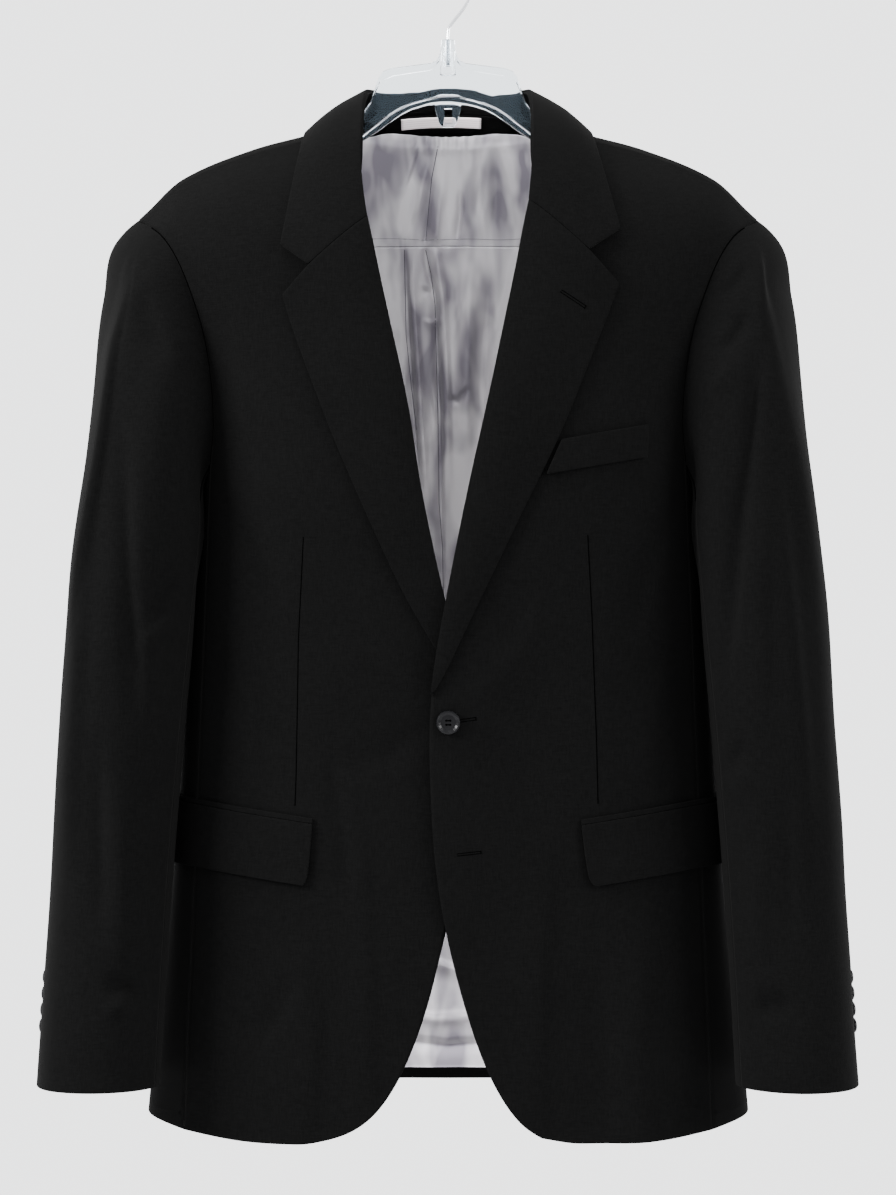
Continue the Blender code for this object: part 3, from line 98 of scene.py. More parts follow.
def worstedWool():
    # fine worsted wool, woven and pressed: deep black with a faint grey bloom on turned edges
    look = woolLook
    material, tree, shader = newMaterial(
        "blackWorstedWool",
        {
            "Roughness": 0.92,
            "IOR": 1.5,
            "Specular IOR Level": 0.008,
            "Sheen Weight": look["fuzz"],
            "Sheen Roughness": 0.45,
            "Sheen Tint": linear("#8f8e8c"),
        },
    )
    wide, long = look["threadWidth"], look["threadLength"]
    warp = addNode(
        tree, "ShaderNodeTexNoise", {"Scale": 1, "Detail": 2},
        {"Vector": placeInMillimetres(tree, (wide, wide, long))},
    )
    weft = addNode(
        tree, "ShaderNodeTexNoise", {"Scale": 1, "Detail": 2},
        {"Vector": placeInMillimetres(tree, (long, long, wide))},
    )
    weave = addNode(
        tree, "ShaderNodeMath", links={0: warp.outputs["Fac"], 1: weft.outputs["Fac"]}, operation="ADD"
    )
    mottle = addNode(
        tree, "ShaderNodeTexNoise", {"Scale": 1, "Detail": 3},
        {"Vector": placeInMillimetres(tree, (look["mottle"],) * 3)},
    )
    share = addNode(
        tree, "ShaderNodeMath", {1: look["mottleShare"]},
        {0: mottle.outputs["Fac"], 2: weave.outputs[0]}, operation="MULTIPLY_ADD",
    )
    low, high = look["contrast"]
    spread = addNode(
        tree, "ShaderNodeMapRange", {"From Min": low, "From Max": high}, {"Value": share.outputs[0]}
    )
    colour = addNode(
        tree, "ShaderNodeMix", {mixFirst: linear(look["dark"]), mixSecond: linear(look["light"])},
        {mixShare: spread.outputs[0]}, data_type="RGBA",
    )
    tree.links.new(colour.outputs[mixedColour], shader.inputs["Base Color"])
    bump = addNode(
        tree, "ShaderNodeBump", {"Strength": look["weaveDepth"], "Distance": 0.4 * mm},
        {"Height": weave.outputs[0]},
    )
    tree.links.new(bump.outputs["Normal"], shader.inputs["Normal"])
    return material


satinLook = {
    # painted light and shade: light is the lit satin of the folds, dark is their lilac shade
    "light": "#c0bcc0",
    "dark": "#6f6a74",
    "foldShadeWidth": 21,  # mm across, painted soft shade between the folds and painted light along them
    "foldShadeLength": 58,
    "foldShadeDepth": 60,
    "contrast": (0.36, 0.60),
    "threadWidth": 0.9,
    "threadLength": 12,
    "weaveDepth": 0.08,
}


def liningSatin():
    # viscose satin, woven in long floats: pale silver with a soft shine, with the lilac shade and pale
    # light of its folds painted into the colour
    look = satinLook
    material, tree, shader = newMaterial(
        "silverViscoseSatin",
        {
            "Roughness": 0.42,
            "IOR": 1.5,
            "Specular IOR Level": 0.5,
            "Sheen Weight": 0.25,
            "Sheen Roughness": 0.4,
            "Anisotropic": 0.3,
        },
    )
    # painted light and shade: the ripple is broad soft blotches that mix the lit and the shaded colour
    # of the folds
    rippleSize = (look["foldShadeWidth"], look["foldShadeDepth"], look["foldShadeLength"])
    ripple = addNode(
        tree, "ShaderNodeTexNoise", {"Scale": 1, "Detail": 2, "Distortion": 0.3},
        {"Vector": placeInMillimetres(tree, rippleSize)},
    )
    low, high = look["contrast"]
    share = addNode(
        tree, "ShaderNodeMapRange", {"From Min": low, "From Max": high},
        {"Value": ripple.outputs["Fac"]},
    )
    colour = addNode(
        tree, "ShaderNodeMix", {mixFirst: linear(look["dark"]), mixSecond: linear(look["light"])},
        {mixShare: share.outputs[0]}, data_type="RGBA",
    )
    tree.links.new(colour.outputs[mixedColour], shader.inputs["Base Color"])
    threads = addNode(
        tree, "ShaderNodeTexNoise", {"Scale": 1, "Detail": 1},
        {"Vector": placeInMillimetres(tree, (look["threadWidth"], 4, look["threadLength"]))},
    )
    bump = addNode(
        tree, "ShaderNodeBump", {"Strength": look["weaveDepth"], "Distance": 0.3 * mm},
        {"Height": threads.outputs["Fac"]},
    )
    tree.links.new(bump.outputs["Normal"], shader.inputs["Normal"])
    return material


def wovenRibbon():
    # polyester label ribbon, woven with a fine rib: pale pinkish white and matt
    material, tree, shader = newMaterial("paleWovenRibbon", {"Roughness": 0.7, "Sheen Weight": 0.2})
    rib = addNode(
        tree, "ShaderNodeTexWave", {"Scale": 1, "Distortion": 0.2, "Detail": 1},
        {"Vector": placeInMillimetres(tree, (4, 4, 4))}, wave_type="BANDS", bands_direction="Z",
    )
    colour = addNode(
        tree, "ShaderNodeMix", {mixFirst: linear("#cdbfc1"), mixSecond: linear("#e2d8d8")},
        {mixShare: rib.outputs["Fac"]}, data_type="RGBA",
    )
    tree.links.new(colour.outputs[mixedColour], shader.inputs["Base Color"])
    bump = addNode(
        tree, "ShaderNodeBump", {"Strength": 0.2, "Distance": 0.2 * mm}, {"Height": rib.outputs["Fac"]}
    )
    tree.links.new(bump.outputs["Normal"], shader.inputs["Normal"])
    return material


def mouldedPlastic():
    # crystal polystyrene, moulded: clear with a faint cool haze and glossy rims
    material, tree, shader = newMaterial(
        "clearPolystyrene",
        {
            "Base Color": linear("#eaf1f6"),
            "Transmission Weight": 1.0,
            "IOR": 1.33,  # polystyrene's 1.59 would mirror the pale room over everything behind it
            "Specular Tint": linear("#b0c6d8"),  # lays slate over the dark stand behind it
        },
    )
    flow = addNode(
        tree, "ShaderNodeTexNoise", {"Scale": 1, "Detail": 2},
        {"Vector": placeInMillimetres(tree, (30, 30, 12))},
    )
    haze = addNode(
        tree, "ShaderNodeMapRange", {"To Min": 0.03, "To Max": 0.10}, {"Value": flow.outputs["Fac"]}
    )
    tree.links.new(haze.outputs[0], shader.inputs["Roughness"])
    return material


def drawnSteel():
    # zinc-plated steel wire, drawn: bright grey with fine lengthwise streaks
    material, tree, shader = newMaterial(
        "platedSteelWire", {"Metallic": 1.0, "Base Color": linear("#b9babd")}
    )
    streaks = addNode(
        tree, "ShaderNodeTexNoise", {"Scale": 1, "Detail": 3},
        {"Vector": placeInMillimetres(tree, (0.4, 0.4, 5))},
    )
    rough = addNode(
        tree, "ShaderNodeMapRange", {"To Min": 0.16, "To Max": 0.34}, {"Value": streaks.outputs["Fac"]}
    )
    tree.links.new(rough.outputs[0], shader.inputs["Roughness"])
    return material


def castResin():
    # polyester resin buttons, cast and tumbled: black with a soft gloss and faint cloudy swirls
    material, tree, shader = newMaterial(
        "blackPolyesterResin", {"IOR": 1.54, "Roughness": 0.24, "Specular IOR Level": 0.05}
    )
    swirl = addNode(
        tree, "ShaderNodeTexNoise", {"Scale": 1, "Detail": 4, "Distortion": 1.5},
        {"Vector": placeInMillimetres(tree, (6, 6, 6))},
    )
    colour = addNode(
        tree, "ShaderNodeMix", {mixFirst: linear("#040405"), mixSecond: linear("#0b0b0c")},
        {mixShare: swirl.outputs["Fac"]}, data_type="RGBA",
    )
    tree.links.new(colour.outputs[mixedColour], shader.inputs["Base Color"])
    return material


def sewingThread(name, hexColour):
    # spun polyester thread, also used for the painted pleat shadows: matt, with the twist as a fine
    # ripple
    material, tree, shader = newMaterial(name, {"Roughness": 0.9, "Specular IOR Level": 0.0})
    twist = addNode(
        tree, "ShaderNodeTexNoise", {"Scale": 1, "Detail": 1},
        {"Vector": placeInMillimetres(tree, (0.5,) * 3)},
    )
    base = linear(hexColour)
    darker = [c * 0.7 for c in base[:3]] + [1]
    colour = addNode(
        tree, "ShaderNodeMix", {mixFirst: darker, mixSecond: base}, {mixShare: twist.outputs["Fac"]},
        data_type="RGBA",
    )
    tree.links.new(colour.outputs[mixedColour], shader.inputs["Base Color"])
    return material


wool = worstedWool()
satin = liningSatin()
ribbon = wovenRibbon()
plastic = mouldedPlastic()
steel = drawnSteel()
resin = castResin()
blackThread = sewingThread("blackSewingThread", "#010101")
greyThread = sewingThread("greySewingThread", "#6e6b73")
# painted shadow: a dark thread laid on the satin where a pressed pleat edge throws its dark line
paintedPleatShadow = sewingThread("paintedPleatShadowThread", "#3b3841")
print("materials made")


# cloth: each panel is its solid's grid, smoothed, with folds pressed in
def addPiece(name, mesh, finish):
    piece = bpy.data.objects.new(name, mesh)
    bpy.context.scene.collection.objects.link(piece)
    piece.data.materials.clear()
    piece.data.materials.append(finish)
    return piece


weld = 0.02 * mm  # corners this near are one
smallEdge = 0.92  # how sharp the narrow pieces keep their edges


def applied(piece):
    # swaps the piece's mesh for the one its modifiers make
    bpy.context.view_layer.update()
    made = bpy.data.meshes.new_from_object(piece.evaluated_get(bpy.context.evaluated_depsgraph_get()))
    piece.modifiers.clear()
    piece.data = made
    return piece


def shellOf(nodeName, levels, edge=1.0, sharpAngle=48):
    form = bmesh.new()
    form.from_mesh(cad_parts[nodeName].data)
    bmesh.ops.remove_doubles(form, verts=form.verts, dist=weld)
    bmesh.ops.join_triangles(
        form, faces=form.faces,
        angle_face_threshold=math.radians(50), angle_shape_threshold=math.radians(75),
    )
    crease = form.edges.layers.float.new("crease_edge")
    for line in form.edges:
        if len(line.link_faces) == 2 and line.calc_face_angle() > math.radians(sharpAngle):
            line[crease] = edge
    mesh = bpy.data.meshes.new(nodeName + "_shell")
    form.to_mesh(mesh)
    form.free()
    piece = bpy.data.objects.new(nodeName + "_shell", mesh)
    bpy.context.scene.collection.objects.link(piece)
    smoother = piece.modifiers.new("smooth", "SUBSURF")
    smoother.levels = smoother.render_levels = levels
    applied(piece)
    return piece


def refine(piece, inside, cuts):
    # finer quads where small creases show
    form = bmesh.new()
    form.from_mesh(piece.data)
    form.faces.ensure_lookup_table()
    chosen = {line for face in form.faces if inside(face.calc_center_median()) for line in face.edges}
    bmesh.ops.subdivide_edges(form, edges=list(chosen), cuts=cuts, use_grid_fill=True)
    form.to_mesh(piece.data)
    form.free()
    return piece


def points(piece):
    found = np.empty(len(piece.data.vertices) * 3)
    piece.data.vertices.foreach_get("co", found)
    return found.reshape(-1, 3)


def setPoints(piece, moved):
    piece.data.vertices.foreach_set("co", moved.ravel())
    piece.data.update()


def ramp(low, high, at):
    share = np.clip((at - low) / (high - low), 0, 1)
    return share * share * (3 - 2 * share)


foldShape = {
    "start": (-0.05, 0.35),  # shares of its path over which a fold rises
    "finish": (0.62, 1.0),
    "lean": 0.35,  # how much steeper one side is
}


def foldLift(folds, across, along):
    # each fold is a soft trough or ridge along a path, steeper on one side, thin at its ends
    lift = np.zeros(len(across))
    for path, width, depth in folds:
        corners = np.array(path)
        steps = np.diff(corners, axis=0)
        lengths = np.hypot(*steps.T)
        nearest = np.full(len(across), 1e9)
        run = np.zeros(len(across))
        side = np.zeros(len(across))
        for i, (corner, step, length) in enumerate(zip(corners, steps, lengths)):
            offX, offZ = across - corner[0], along - corner[1]
            share = np.clip((offX * step[0] + offZ * step[1]) / length**2, 0, 1)
            away = np.hypot(offX - share * step[0], offZ - share * step[1])
            closer = away < nearest
            nearest[closer] = away[closer]
            run[closer] = (lengths[:i].sum() + share * length)[closer]
            side[closer] = (offX * step[1] - offZ * step[0])[closer]
        run /= lengths.sum()
        strength = ramp(*foldShape["start"], run) * (1 - ramp(*foldShape["finish"], run))
        spread = width * (1 + foldShape["lean"] * np.tanh(side / (length * width)))
        lift += depth * strength * np.exp(-((nearest / spread) ** 2))
    return lift


bodyFolds = {
    # path in X and Z, half width, height of the ridge (below nought: a trough), metres
    "front": (
        (((-0.006, -0.560), (-0.045, -0.590), (-0.095, -0.600)), 0.0104, -0.0022),
        (((0.018, -0.572), (0.050, -0.600), (0.085, -0.655)), 0.0114, -0.0022),
        (((0.015, -0.550), (0.050, -0.515), (0.075, -0.470)), 0.0114, 0.0024),
        (((-0.015, -0.545), (-0.045, -0.505), (-0.070, -0.450)), 0.0114, 0.0019),
        (((-0.083, -0.570), (-0.080, -0.615), (-0.072, -0.665), (-0.073, -0.710)), 0.0071, -0.0030),
        (((-0.070, -0.600), (-0.062, -0.670), (-0.058, -0.780), (-0.056, -0.900)), 0.0095, 0.0024),
        (((-0.105, -0.740), (-0.125, -0.775), (-0.145, -0.800)), 0.0095, -0.0027),
        (((-0.110, -0.700), (-0.098, -0.780), (-0.104, -0.900)), 0.0123, 0.0027),
        (((0.070, -0.640), (0.064, -0.720), (0.060, -0.900)), 0.0114, 0.0027),
        (((0.104, -0.720), (0.112, -0.800), (0.114, -0.900)), 0.0114, -0.0030),
        (((0.140, -0.700), (0.134, -0.800), (0.142, -0.900)), 0.0114, 0.0024),
        (((-0.168, -0.395), (-0.140, -0.440), (-0.122, -0.505)), 0.0085, -0.0024),
        (((-0.150, -0.500), (-0.143, -0.570), (-0.135, -0.625)), 0.0095, 0.0019),
        (((0.166, -0.400), (0.142, -0.450), (0.128, -0.520)), 0.0085, -0.0024),
        (((0.152, -0.520), (0.146, -0.580), (0.140, -0.630)), 0.0095, 0.0016),
        (((-0.196, -0.235), (-0.165, -0.275), (-0.150, -0.345)), 0.0123, -0.0022),
        (((0.195, -0.240), (0.165, -0.280), (0.150, -0.345)), 0.0123, -0.0022),
    ),
    "back": (
        (((-0.175, -0.290), (-0.135, -0.330), (-0.090, -0.400)), 0.0140, -0.0030),
        (((0.170, -0.300), (0.128, -0.345), (0.096, -0.410)), 0.0140, -0.0028),
        (((-0.125, -0.410), (-0.085, -0.470), (-0.058, -0.570)), 0.0130, 0.0024),
        (((0.120, -0.420), (0.080, -0.490), (0.050, -0.575)), 0.0140, 0.0022),
        (((-0.040, -0.590), (-0.050, -0.700), (-0.046, -0.900)), 0.0140, -0.0026),
        (((0.050, -0.610), (0.054, -0.720), (0.060, -0.900)), 0.0150, -0.0024),
        (((-0.115, -0.630), (-0.128, -0.740), (-0.136, -0.900)), 0.0160, 0.0026),
        (((0.125, -0.640), (0.120, -0.760), (0.132, -0.900)), 0.0150, 0.0024),
        (((-0.070, -0.165), (0.000, -0.172), (0.066, -0.168)), 0.0100, -0.0014),
        (((-0.010, -0.185), (0.004, -0.250), (0.010, -0.330)), 0.0160, -0.0016),
        (((-0.150, -0.520), (-0.120, -0.545), (-0.080, -0.550)), 0.0100, -0.0014),
        (((0.150, -0.530), (0.110, -0.552), (0.070, -0.556)), 0.0100, -0.0016),
    ),
    "ripple": 0.0009,
    "rippleSize": 0.055,
    "rippleStretch": (1, 0.4, 0.5),
}
bodyCalm = {
    # where the folds fade out, metres: at the side seams, the armholes and the shoulders
    "seamDepth": (0.004, 0.045),
    "armholeAcross": (0.150, 0.185),
    "armholeHeight": (-0.42, -0.36),
    "shoulderHeight": (-0.16, -0.24),
}


def uneven(places, size, depth):
    # low soft unevenness, the same at both edges of a seam
    steps = places / size
    return depth * np.array([noise.noise(Vector((x, y, z))) for x, y, z in steps])


bodyHalf = {"width": 0.20, "depth": 0.09}  # of the hanging body, metres


def bodyWay(places):
    # outwards from the garment's upright middle
    way = places * [1 / bodyHalf["width"] ** 2, 1 / bodyHalf["depth"] ** 2, 0]
    return way / np.maximum(np.linalg.norm(way, axis=1, keepdims=True), 1e-9)


shoulderForm = {
    # the photo's fuller shoulders and straighter upper sleeves, metres
    "rise": 0.0042,
    "riseAcross": (0.085, 0.145),
    "fallAcross": (0.195, 0.222),
    "riseHeight": (-0.240, -0.180),
    "drawIn": 0.0070,
    "drawFrom": (-0.212, -0.256),
    "drawUntil": (-0.300, -0.470),
    "drawWay": (0.0, 0.7),
}


def squareShoulders(places):
    across, height = np.abs(places[:, 0]), places[:, 2]
    rise = ramp(*shoulderForm["riseAcross"], across) * (1 - ramp(*shoulderForm["fallAcross"], across))
    moved = places.copy()
    moved[:, 2] += shoulderForm["rise"] * rise * ramp(*shoulderForm["riseHeight"], height)
    return moved


def pressBody(piece):
    places = squareShoulders(points(piece))
    across, depth, height = places.T
    lift = np.where(
        depth < 0,
        foldLift(bodyFolds["front"], across, height),
        foldLift(bodyFolds["back"], across, height),
    )
    lift *= ramp(*bodyCalm["seamDepth"], np.abs(depth))
    lift += uneven(places * bodyFolds["rippleStretch"], bodyFolds["rippleSize"], bodyFolds["ripple"])
    armhole = ramp(*bodyCalm["armholeAcross"], np.abs(across))
    armhole *= ramp(*bodyCalm["armholeHeight"], height)
    calm = (1 - armhole) * ramp(*bodyCalm["shoulderHeight"], height)
    setPoints(piece, places + bodyWay(places) * (lift * calm)[:, None])


sleeveFolds = {
    # as for the body: the half of the sleeve seen from the front, then the half behind
    "right": (
        (
            (((-0.229, -0.208), (-0.238, -0.252), (-0.246, -0.294), (-0.251, -0.366), (-0.257, -0.426),
              (-0.264, -0.470), (-0.272, -0.530)), 0.0055, 0.0049),
            (((-0.255, -0.400), (-0.262, -0.500), (-0.268, -0.600), (-0.270, -0.700)), 0.0085, 0.0043),
            (((-0.233, -0.345), (-0.229, -0.387), (-0.2256, -0.463), (-0.222, -0.521), (-0.219, -0.590)),
             0.0071, -0.0061),
            (((-0.222, -0.250), (-0.211, -0.285), (-0.198, -0.312)), 0.0081, -0.0041),
            (((-0.212, -0.492), (-0.200, -0.472), (-0.188, -0.458)), 0.0040, -0.0038),
            (((-0.219, -0.512), (-0.204, -0.496), (-0.191, -0.484)), 0.0047, 0.0032),
            (((-0.199, -0.281), (-0.178, -0.284)), 0.0032, -0.0017),
            (((-0.196, -0.297), (-0.176, -0.294)), 0.0032, -0.0017),
            (((-0.194, -0.312), (-0.177, -0.306)), 0.0029, -0.0013),
            (((-0.248, -0.560), (-0.246, -0.640), (-0.243, -0.730)), 0.0076, -0.0038),
            (((-0.232, -0.600), (-0.230, -0.680), (-0.232, -0.760)), 0.0076, 0.0029),
            (((-0.243, -0.744), (-0.226, -0.748), (-0.211, -0.764)), 0.0047, -0.0052),
            (((-0.246, -0.768), (-0.230, -0.761), (-0.215, -0.750)), 0.0044, 0.0038),
            (((-0.220, -0.622), (-0.209, -0.612), (-0.197, -0.606)), 0.0047, -0.0032),
        ),
        (
            (((-0.236, -0.300), (-0.246, -0.400), (-0.250, -0.520)), 0.0095, -0.0049),
            (((-0.215, -0.470), (-0.235, -0.500), (-0.262, -0.515)), 0.0066, -0.0043),
            (((-0.212, -0.520), (-0.232, -0.538), (-0.258, -0.545)), 0.0057, 0.0035),
            (((-0.250, -0.560), (-0.254, -0.660), (-0.250, -0.760)), 0.0095, 0.0038),
            (((-0.226, -0.590), (-0.232, -0.680), (-0.228, -0.760)), 0.0085, -0.0035),
        ),
    ),
    "left": (
        (
            (((0.222, -0.205), (0.2265, -0.235), (0.2260, -0.262), (0.223, -0.290), (0.220, -0.345)),
             0.0064, 0.0030),
            (((0.2285, -0.250), (0.2235, -0.2935), (0.2164, -0.345), (0.2115, -0.387), (0.206, -0.430),
              (0.202, -0.472), (0.197, -0.520), (0.198, -0.580)), 0.0066, -0.0067),
            (((0.185, -0.261), (0.203, -0.252), (0.218, -0.231)), 0.0044, -0.0032),
            (((0.188, -0.301), (0.203, -0.290), (0.217, -0.266)), 0.0047, -0.0038),
            (((0.182, -0.326), (0.196, -0.317), (0.208, -0.303)), 0.0057, 0.0023),
            (((0.228, -0.350), (0.236, -0.440), (0.247, -0.560), (0.256, -0.680)), 0.0095, 0.0038),
            (((0.221, -0.400), (0.219, -0.480), (0.222, -0.590)), 0.0076, 0.0038),
            (((0.190, -0.600), (0.202, -0.589), (0.214, -0.574)), 0.0049, -0.0043),
            (((0.192, -0.618), (0.206, -0.607), (0.218, -0.596)), 0.0047, 0.0029),
            (((0.236, -0.600), (0.240, -0.680), (0.238, -0.750)), 0.0076, -0.0035),
            (((0.214, -0.770), (0.224, -0.761), (0.244, -0.761)), 0.0047, -0.0052),
            (((0.209, -0.749), (0.222, -0.743), (0.238, -0.750)), 0.0044, 0.0035),
            (((0.222, -0.640), (0.220, -0.700), (0.224, -0.745)), 0.0066, 0.0026),
        ),
        (
            (((0.238, -0.310), (0.246, -0.420), (0.252, -0.540)), 0.0095, -0.0049),
            (((0.216, -0.480), (0.238, -0.506), (0.264, -0.522)), 0.0066, -0.0041),
            (((0.214, -0.528), (0.236, -0.548), (0.260, -0.552)), 0.0057, 0.0032),
            (((0.252, -0.580), (0.256, -0.680), (0.252, -0.770)), 0.0095, 0.0038),
            (((0.228, -0.600), (0.233, -0.690), (0.230, -0.770)), 0.0085, -0.0035),
        ),
    ),
    "ripple": 0.0010,
    "rippleSize": 0.045,
    "rippleStretch": (1, 0.8, 0.6),
}
sleeveCalm = {
    # shares are of the way round, from the sleeve's middle; the rest is metres
    "half": (0.05, 0.45),
    "inwards": (0.55, 0.9),
    "still": 0.9,
    "capHeight": (-0.195, -0.235),
    "besideBody": (0.0015, 0.010),
    "pullReach": (0.0030, 0.0110),
    "pullHeight": (-0.470, -0.425),
    "pull": 0.92,
}


sleeveRows = {"foot": -0.815, "top": -0.43, "count": 12, "reach": 0.03}


def sleeveMiddle(name):
    # centre line of a sleeve, read from its two solids in rows
    halves = [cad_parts[f"sleeve_{part}_{name}"] for part in ("top", "under")]
    found = np.array([tuple(corner.co) for half in halves for corner in half.data.vertices])
    heights = np.linspace(sleeveRows["foot"], sleeveRows["top"], sleeveRows["count"])
    rows = []
    for height in heights:
        near = found[np.abs(found[:, 2] - height) < sleeveRows["reach"]]
        rows.append((near[:, :2].min(0) + near[:, :2].max(0)) / 2)
    return heights, np.array(rows)


def pressSleeve(piece, name, nearBody):
    heights, middle = sleeveMiddle(name)
    places = squareShoulders(points(piece))
    centre = np.stack([np.interp(places[:, 2], heights, middle[:, i]) for i in (0, 1)], 1)
    way = places[:, :2] - centre
    way /= np.maximum(np.linalg.norm(way, axis=1, keepdims=True), 1e-9)
    forward, behind = (foldLift(folds, places[:, 0], places[:, 2]) for folds in sleeveFolds[name])
    low, high = sleeveCalm["half"]
    lift = forward * ramp(low, high, -way[:, 1]) + behind * ramp(low, high, way[:, 1])
    stretched = places * sleeveFolds["rippleStretch"]
    lift += uneven(stretched, sleeveFolds["rippleSize"], sleeveFolds["ripple"])
    inwards = ramp(*sleeveCalm["inwards"], -sides[name] * way[:, 0])  # stays still against the body
    calm = ramp(*sleeveCalm["capHeight"], places[:, 2]) * (1 - sleeveCalm["still"] * inwards)
    found = [nearBody.find_nearest(place) for place in places]
    near = np.array([hit[3] for hit in found])
    calm *= ramp(*sleeveCalm["besideBody"], near)
    moved = places.copy()
    moved[:, :2] += way * (lift * calm)[:, None]
    drawIn = ramp(*shoulderForm["drawFrom"], places[:, 2])
    drawIn *= 1 - ramp(*shoulderForm["drawUntil"], places[:, 2])
    drawIn *= shoulderForm["drawIn"] * ramp(*shoulderForm["drawWay"], sides[name] * way[:, 0])
    moved[:, 0] -= sides[name] * drawIn
    # the underarm is drawn in against the body, so that nothing shows between them
    pulled = 1 - ramp(*sleeveCalm["pullReach"], near)
    pulled *= ramp(*sleeveCalm["pullHeight"], places[:, 2]) * inwards
    moved += (np.array([hit[0] for hit in found]) - moved) * (sleeveCalm["pull"] * pulled)[:, None]
    setPoints(piece, moved)


def treeOf(pieces):
    corners, faces = [], []
    for piece in pieces:
        start = len(corners)
        corners += [v.co.copy() for v in piece.data.vertices]
        faces += [[start + i for i in face.vertices] for face in piece.data.polygons]
    return BVHTree.FromPolygons(corners, faces)


def sewTo(piece, neighbours, reach=0.9 * mm):
    # closes the parting: edge points this near a neighbour are drawn onto it
    places = points(piece)
    for i, place in enumerate(places):
        found, _, _, away = neighbours.find_nearest(place, reach)
        if found is not None:
            places[i] = found
    setPoints(piece, places)


clothCuts = {
    # width, length and area of what shows of each cut, and what it hangs on
    "front": (0.250, 0.745, 0.128, "hanger"),
    "side": (0.120, 0.500, 0.049, "front_right"),
    "back": (0.250, 0.760, 0.155, "hanger"),
    "lapel": (0.115, 0.360, 0.0165, "front_right"),
    "sleeve_top": (0.250, 0.640, 0.131, "front_right"),
    "sleeve_under": (0.115, 0.545, 0.051, "side_right"),
    "pocket_flap": (0.140, 0.058, 0.0068, "front_right"),
    "pocket_jet": (0.145, 0.012, 0.0008, "front_right"),
    "collar": (0.480, 0.085, 0.031, "back_right"),
    "collar_stand": (0.300, 0.042, 0.0074, "back_right"),
    "breast_welt": (0.080, 0.028, 0.0019, "front_left"),
    "neck_facing": (0.100, 0.028, 0.0018, "back_right"),
    "lining_yoke": (0.305, 0.095, 0.0245, "back_right"),
    "lining_back": (0.310, 0.650, 0.196, "back_right"),
    "label": (0.062, 0.013, 0.0006, "neck_facing"),
    "hanger_loop": (0.052, 0.010, 0.00024, "neck_facing"),
}


def hangCloth(piece, nodeName, kind, finish):
    width, length, area, holder = clothCuts[kind]
    if nodeName.endswith("_left"):
        holder = holder.replace("_right", "_left")
    piece.name = nodeName + "_cloth"
    piece.data.materials.clear()
    piece.data.materials.append(finish)
    piece.data.shade_smooth()
    piece.data.set_sharp_from_angle(angle=math.radians(60))
    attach(piece, "root")
    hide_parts(nodeName)
    return piece


cloth = {}
for name in sides:
    for kind in ("front", "side", "back"):
        cloth[f"{kind}_{name}"] = piece = shellOf(f"{kind}_{name}", 3)
        pressBody(piece)
sewTo(cloth["back_right"], treeOf([cloth["back_left"]]))
for name in sides:
    sewTo(cloth[f"side_{name}"], treeOf([cloth[f"front_{name}"], cloth[f"back_{name}"]]))
    sewTo(cloth[f"back_{name}"], treeOf([cloth[f"front_{name}"]]))
for name in sides:
    nearBody = treeOf([cloth[f"{kind}_{name}"] for kind in ("front", "side", "back")])
    for kind in ("sleeve_top", "sleeve_under"):
        cloth[f"{kind}_{name}"] = piece = shellOf(f"{kind}_{name}", 3)
        pressSleeve(piece, name, nearBody)
        sewTo(piece, nearBody)
    sewTo(cloth[f"sleeve_under_{name}"], treeOf([cloth[f"sleeve_top_{name}"]]))
for name in sides:
    for kind in ("pocket_jet", "pocket_flap", "lapel"):
        cloth[f"{kind}_{name}"] = piece = shellOf(f"{kind}_{name}", 3, edge=smallEdge)
        pressBody(piece)
for kind in ("collar", "collar_stand", "breast_welt", "neck_facing", "hanger_loop"):
    cloth[kind] = piece = shellOf(kind, 3, edge=smallEdge)
    pressBody(piece)
sewTo(cloth["collar_stand"], treeOf([cloth[kind] for kind in ("back_right", "back_left", "collar")]))
for nodeName, piece in cloth.items():
    hangCloth(piece, nodeName, nodeName.removesuffix("_right").removesuffix("_left"), wool)
print("wool panels hung")


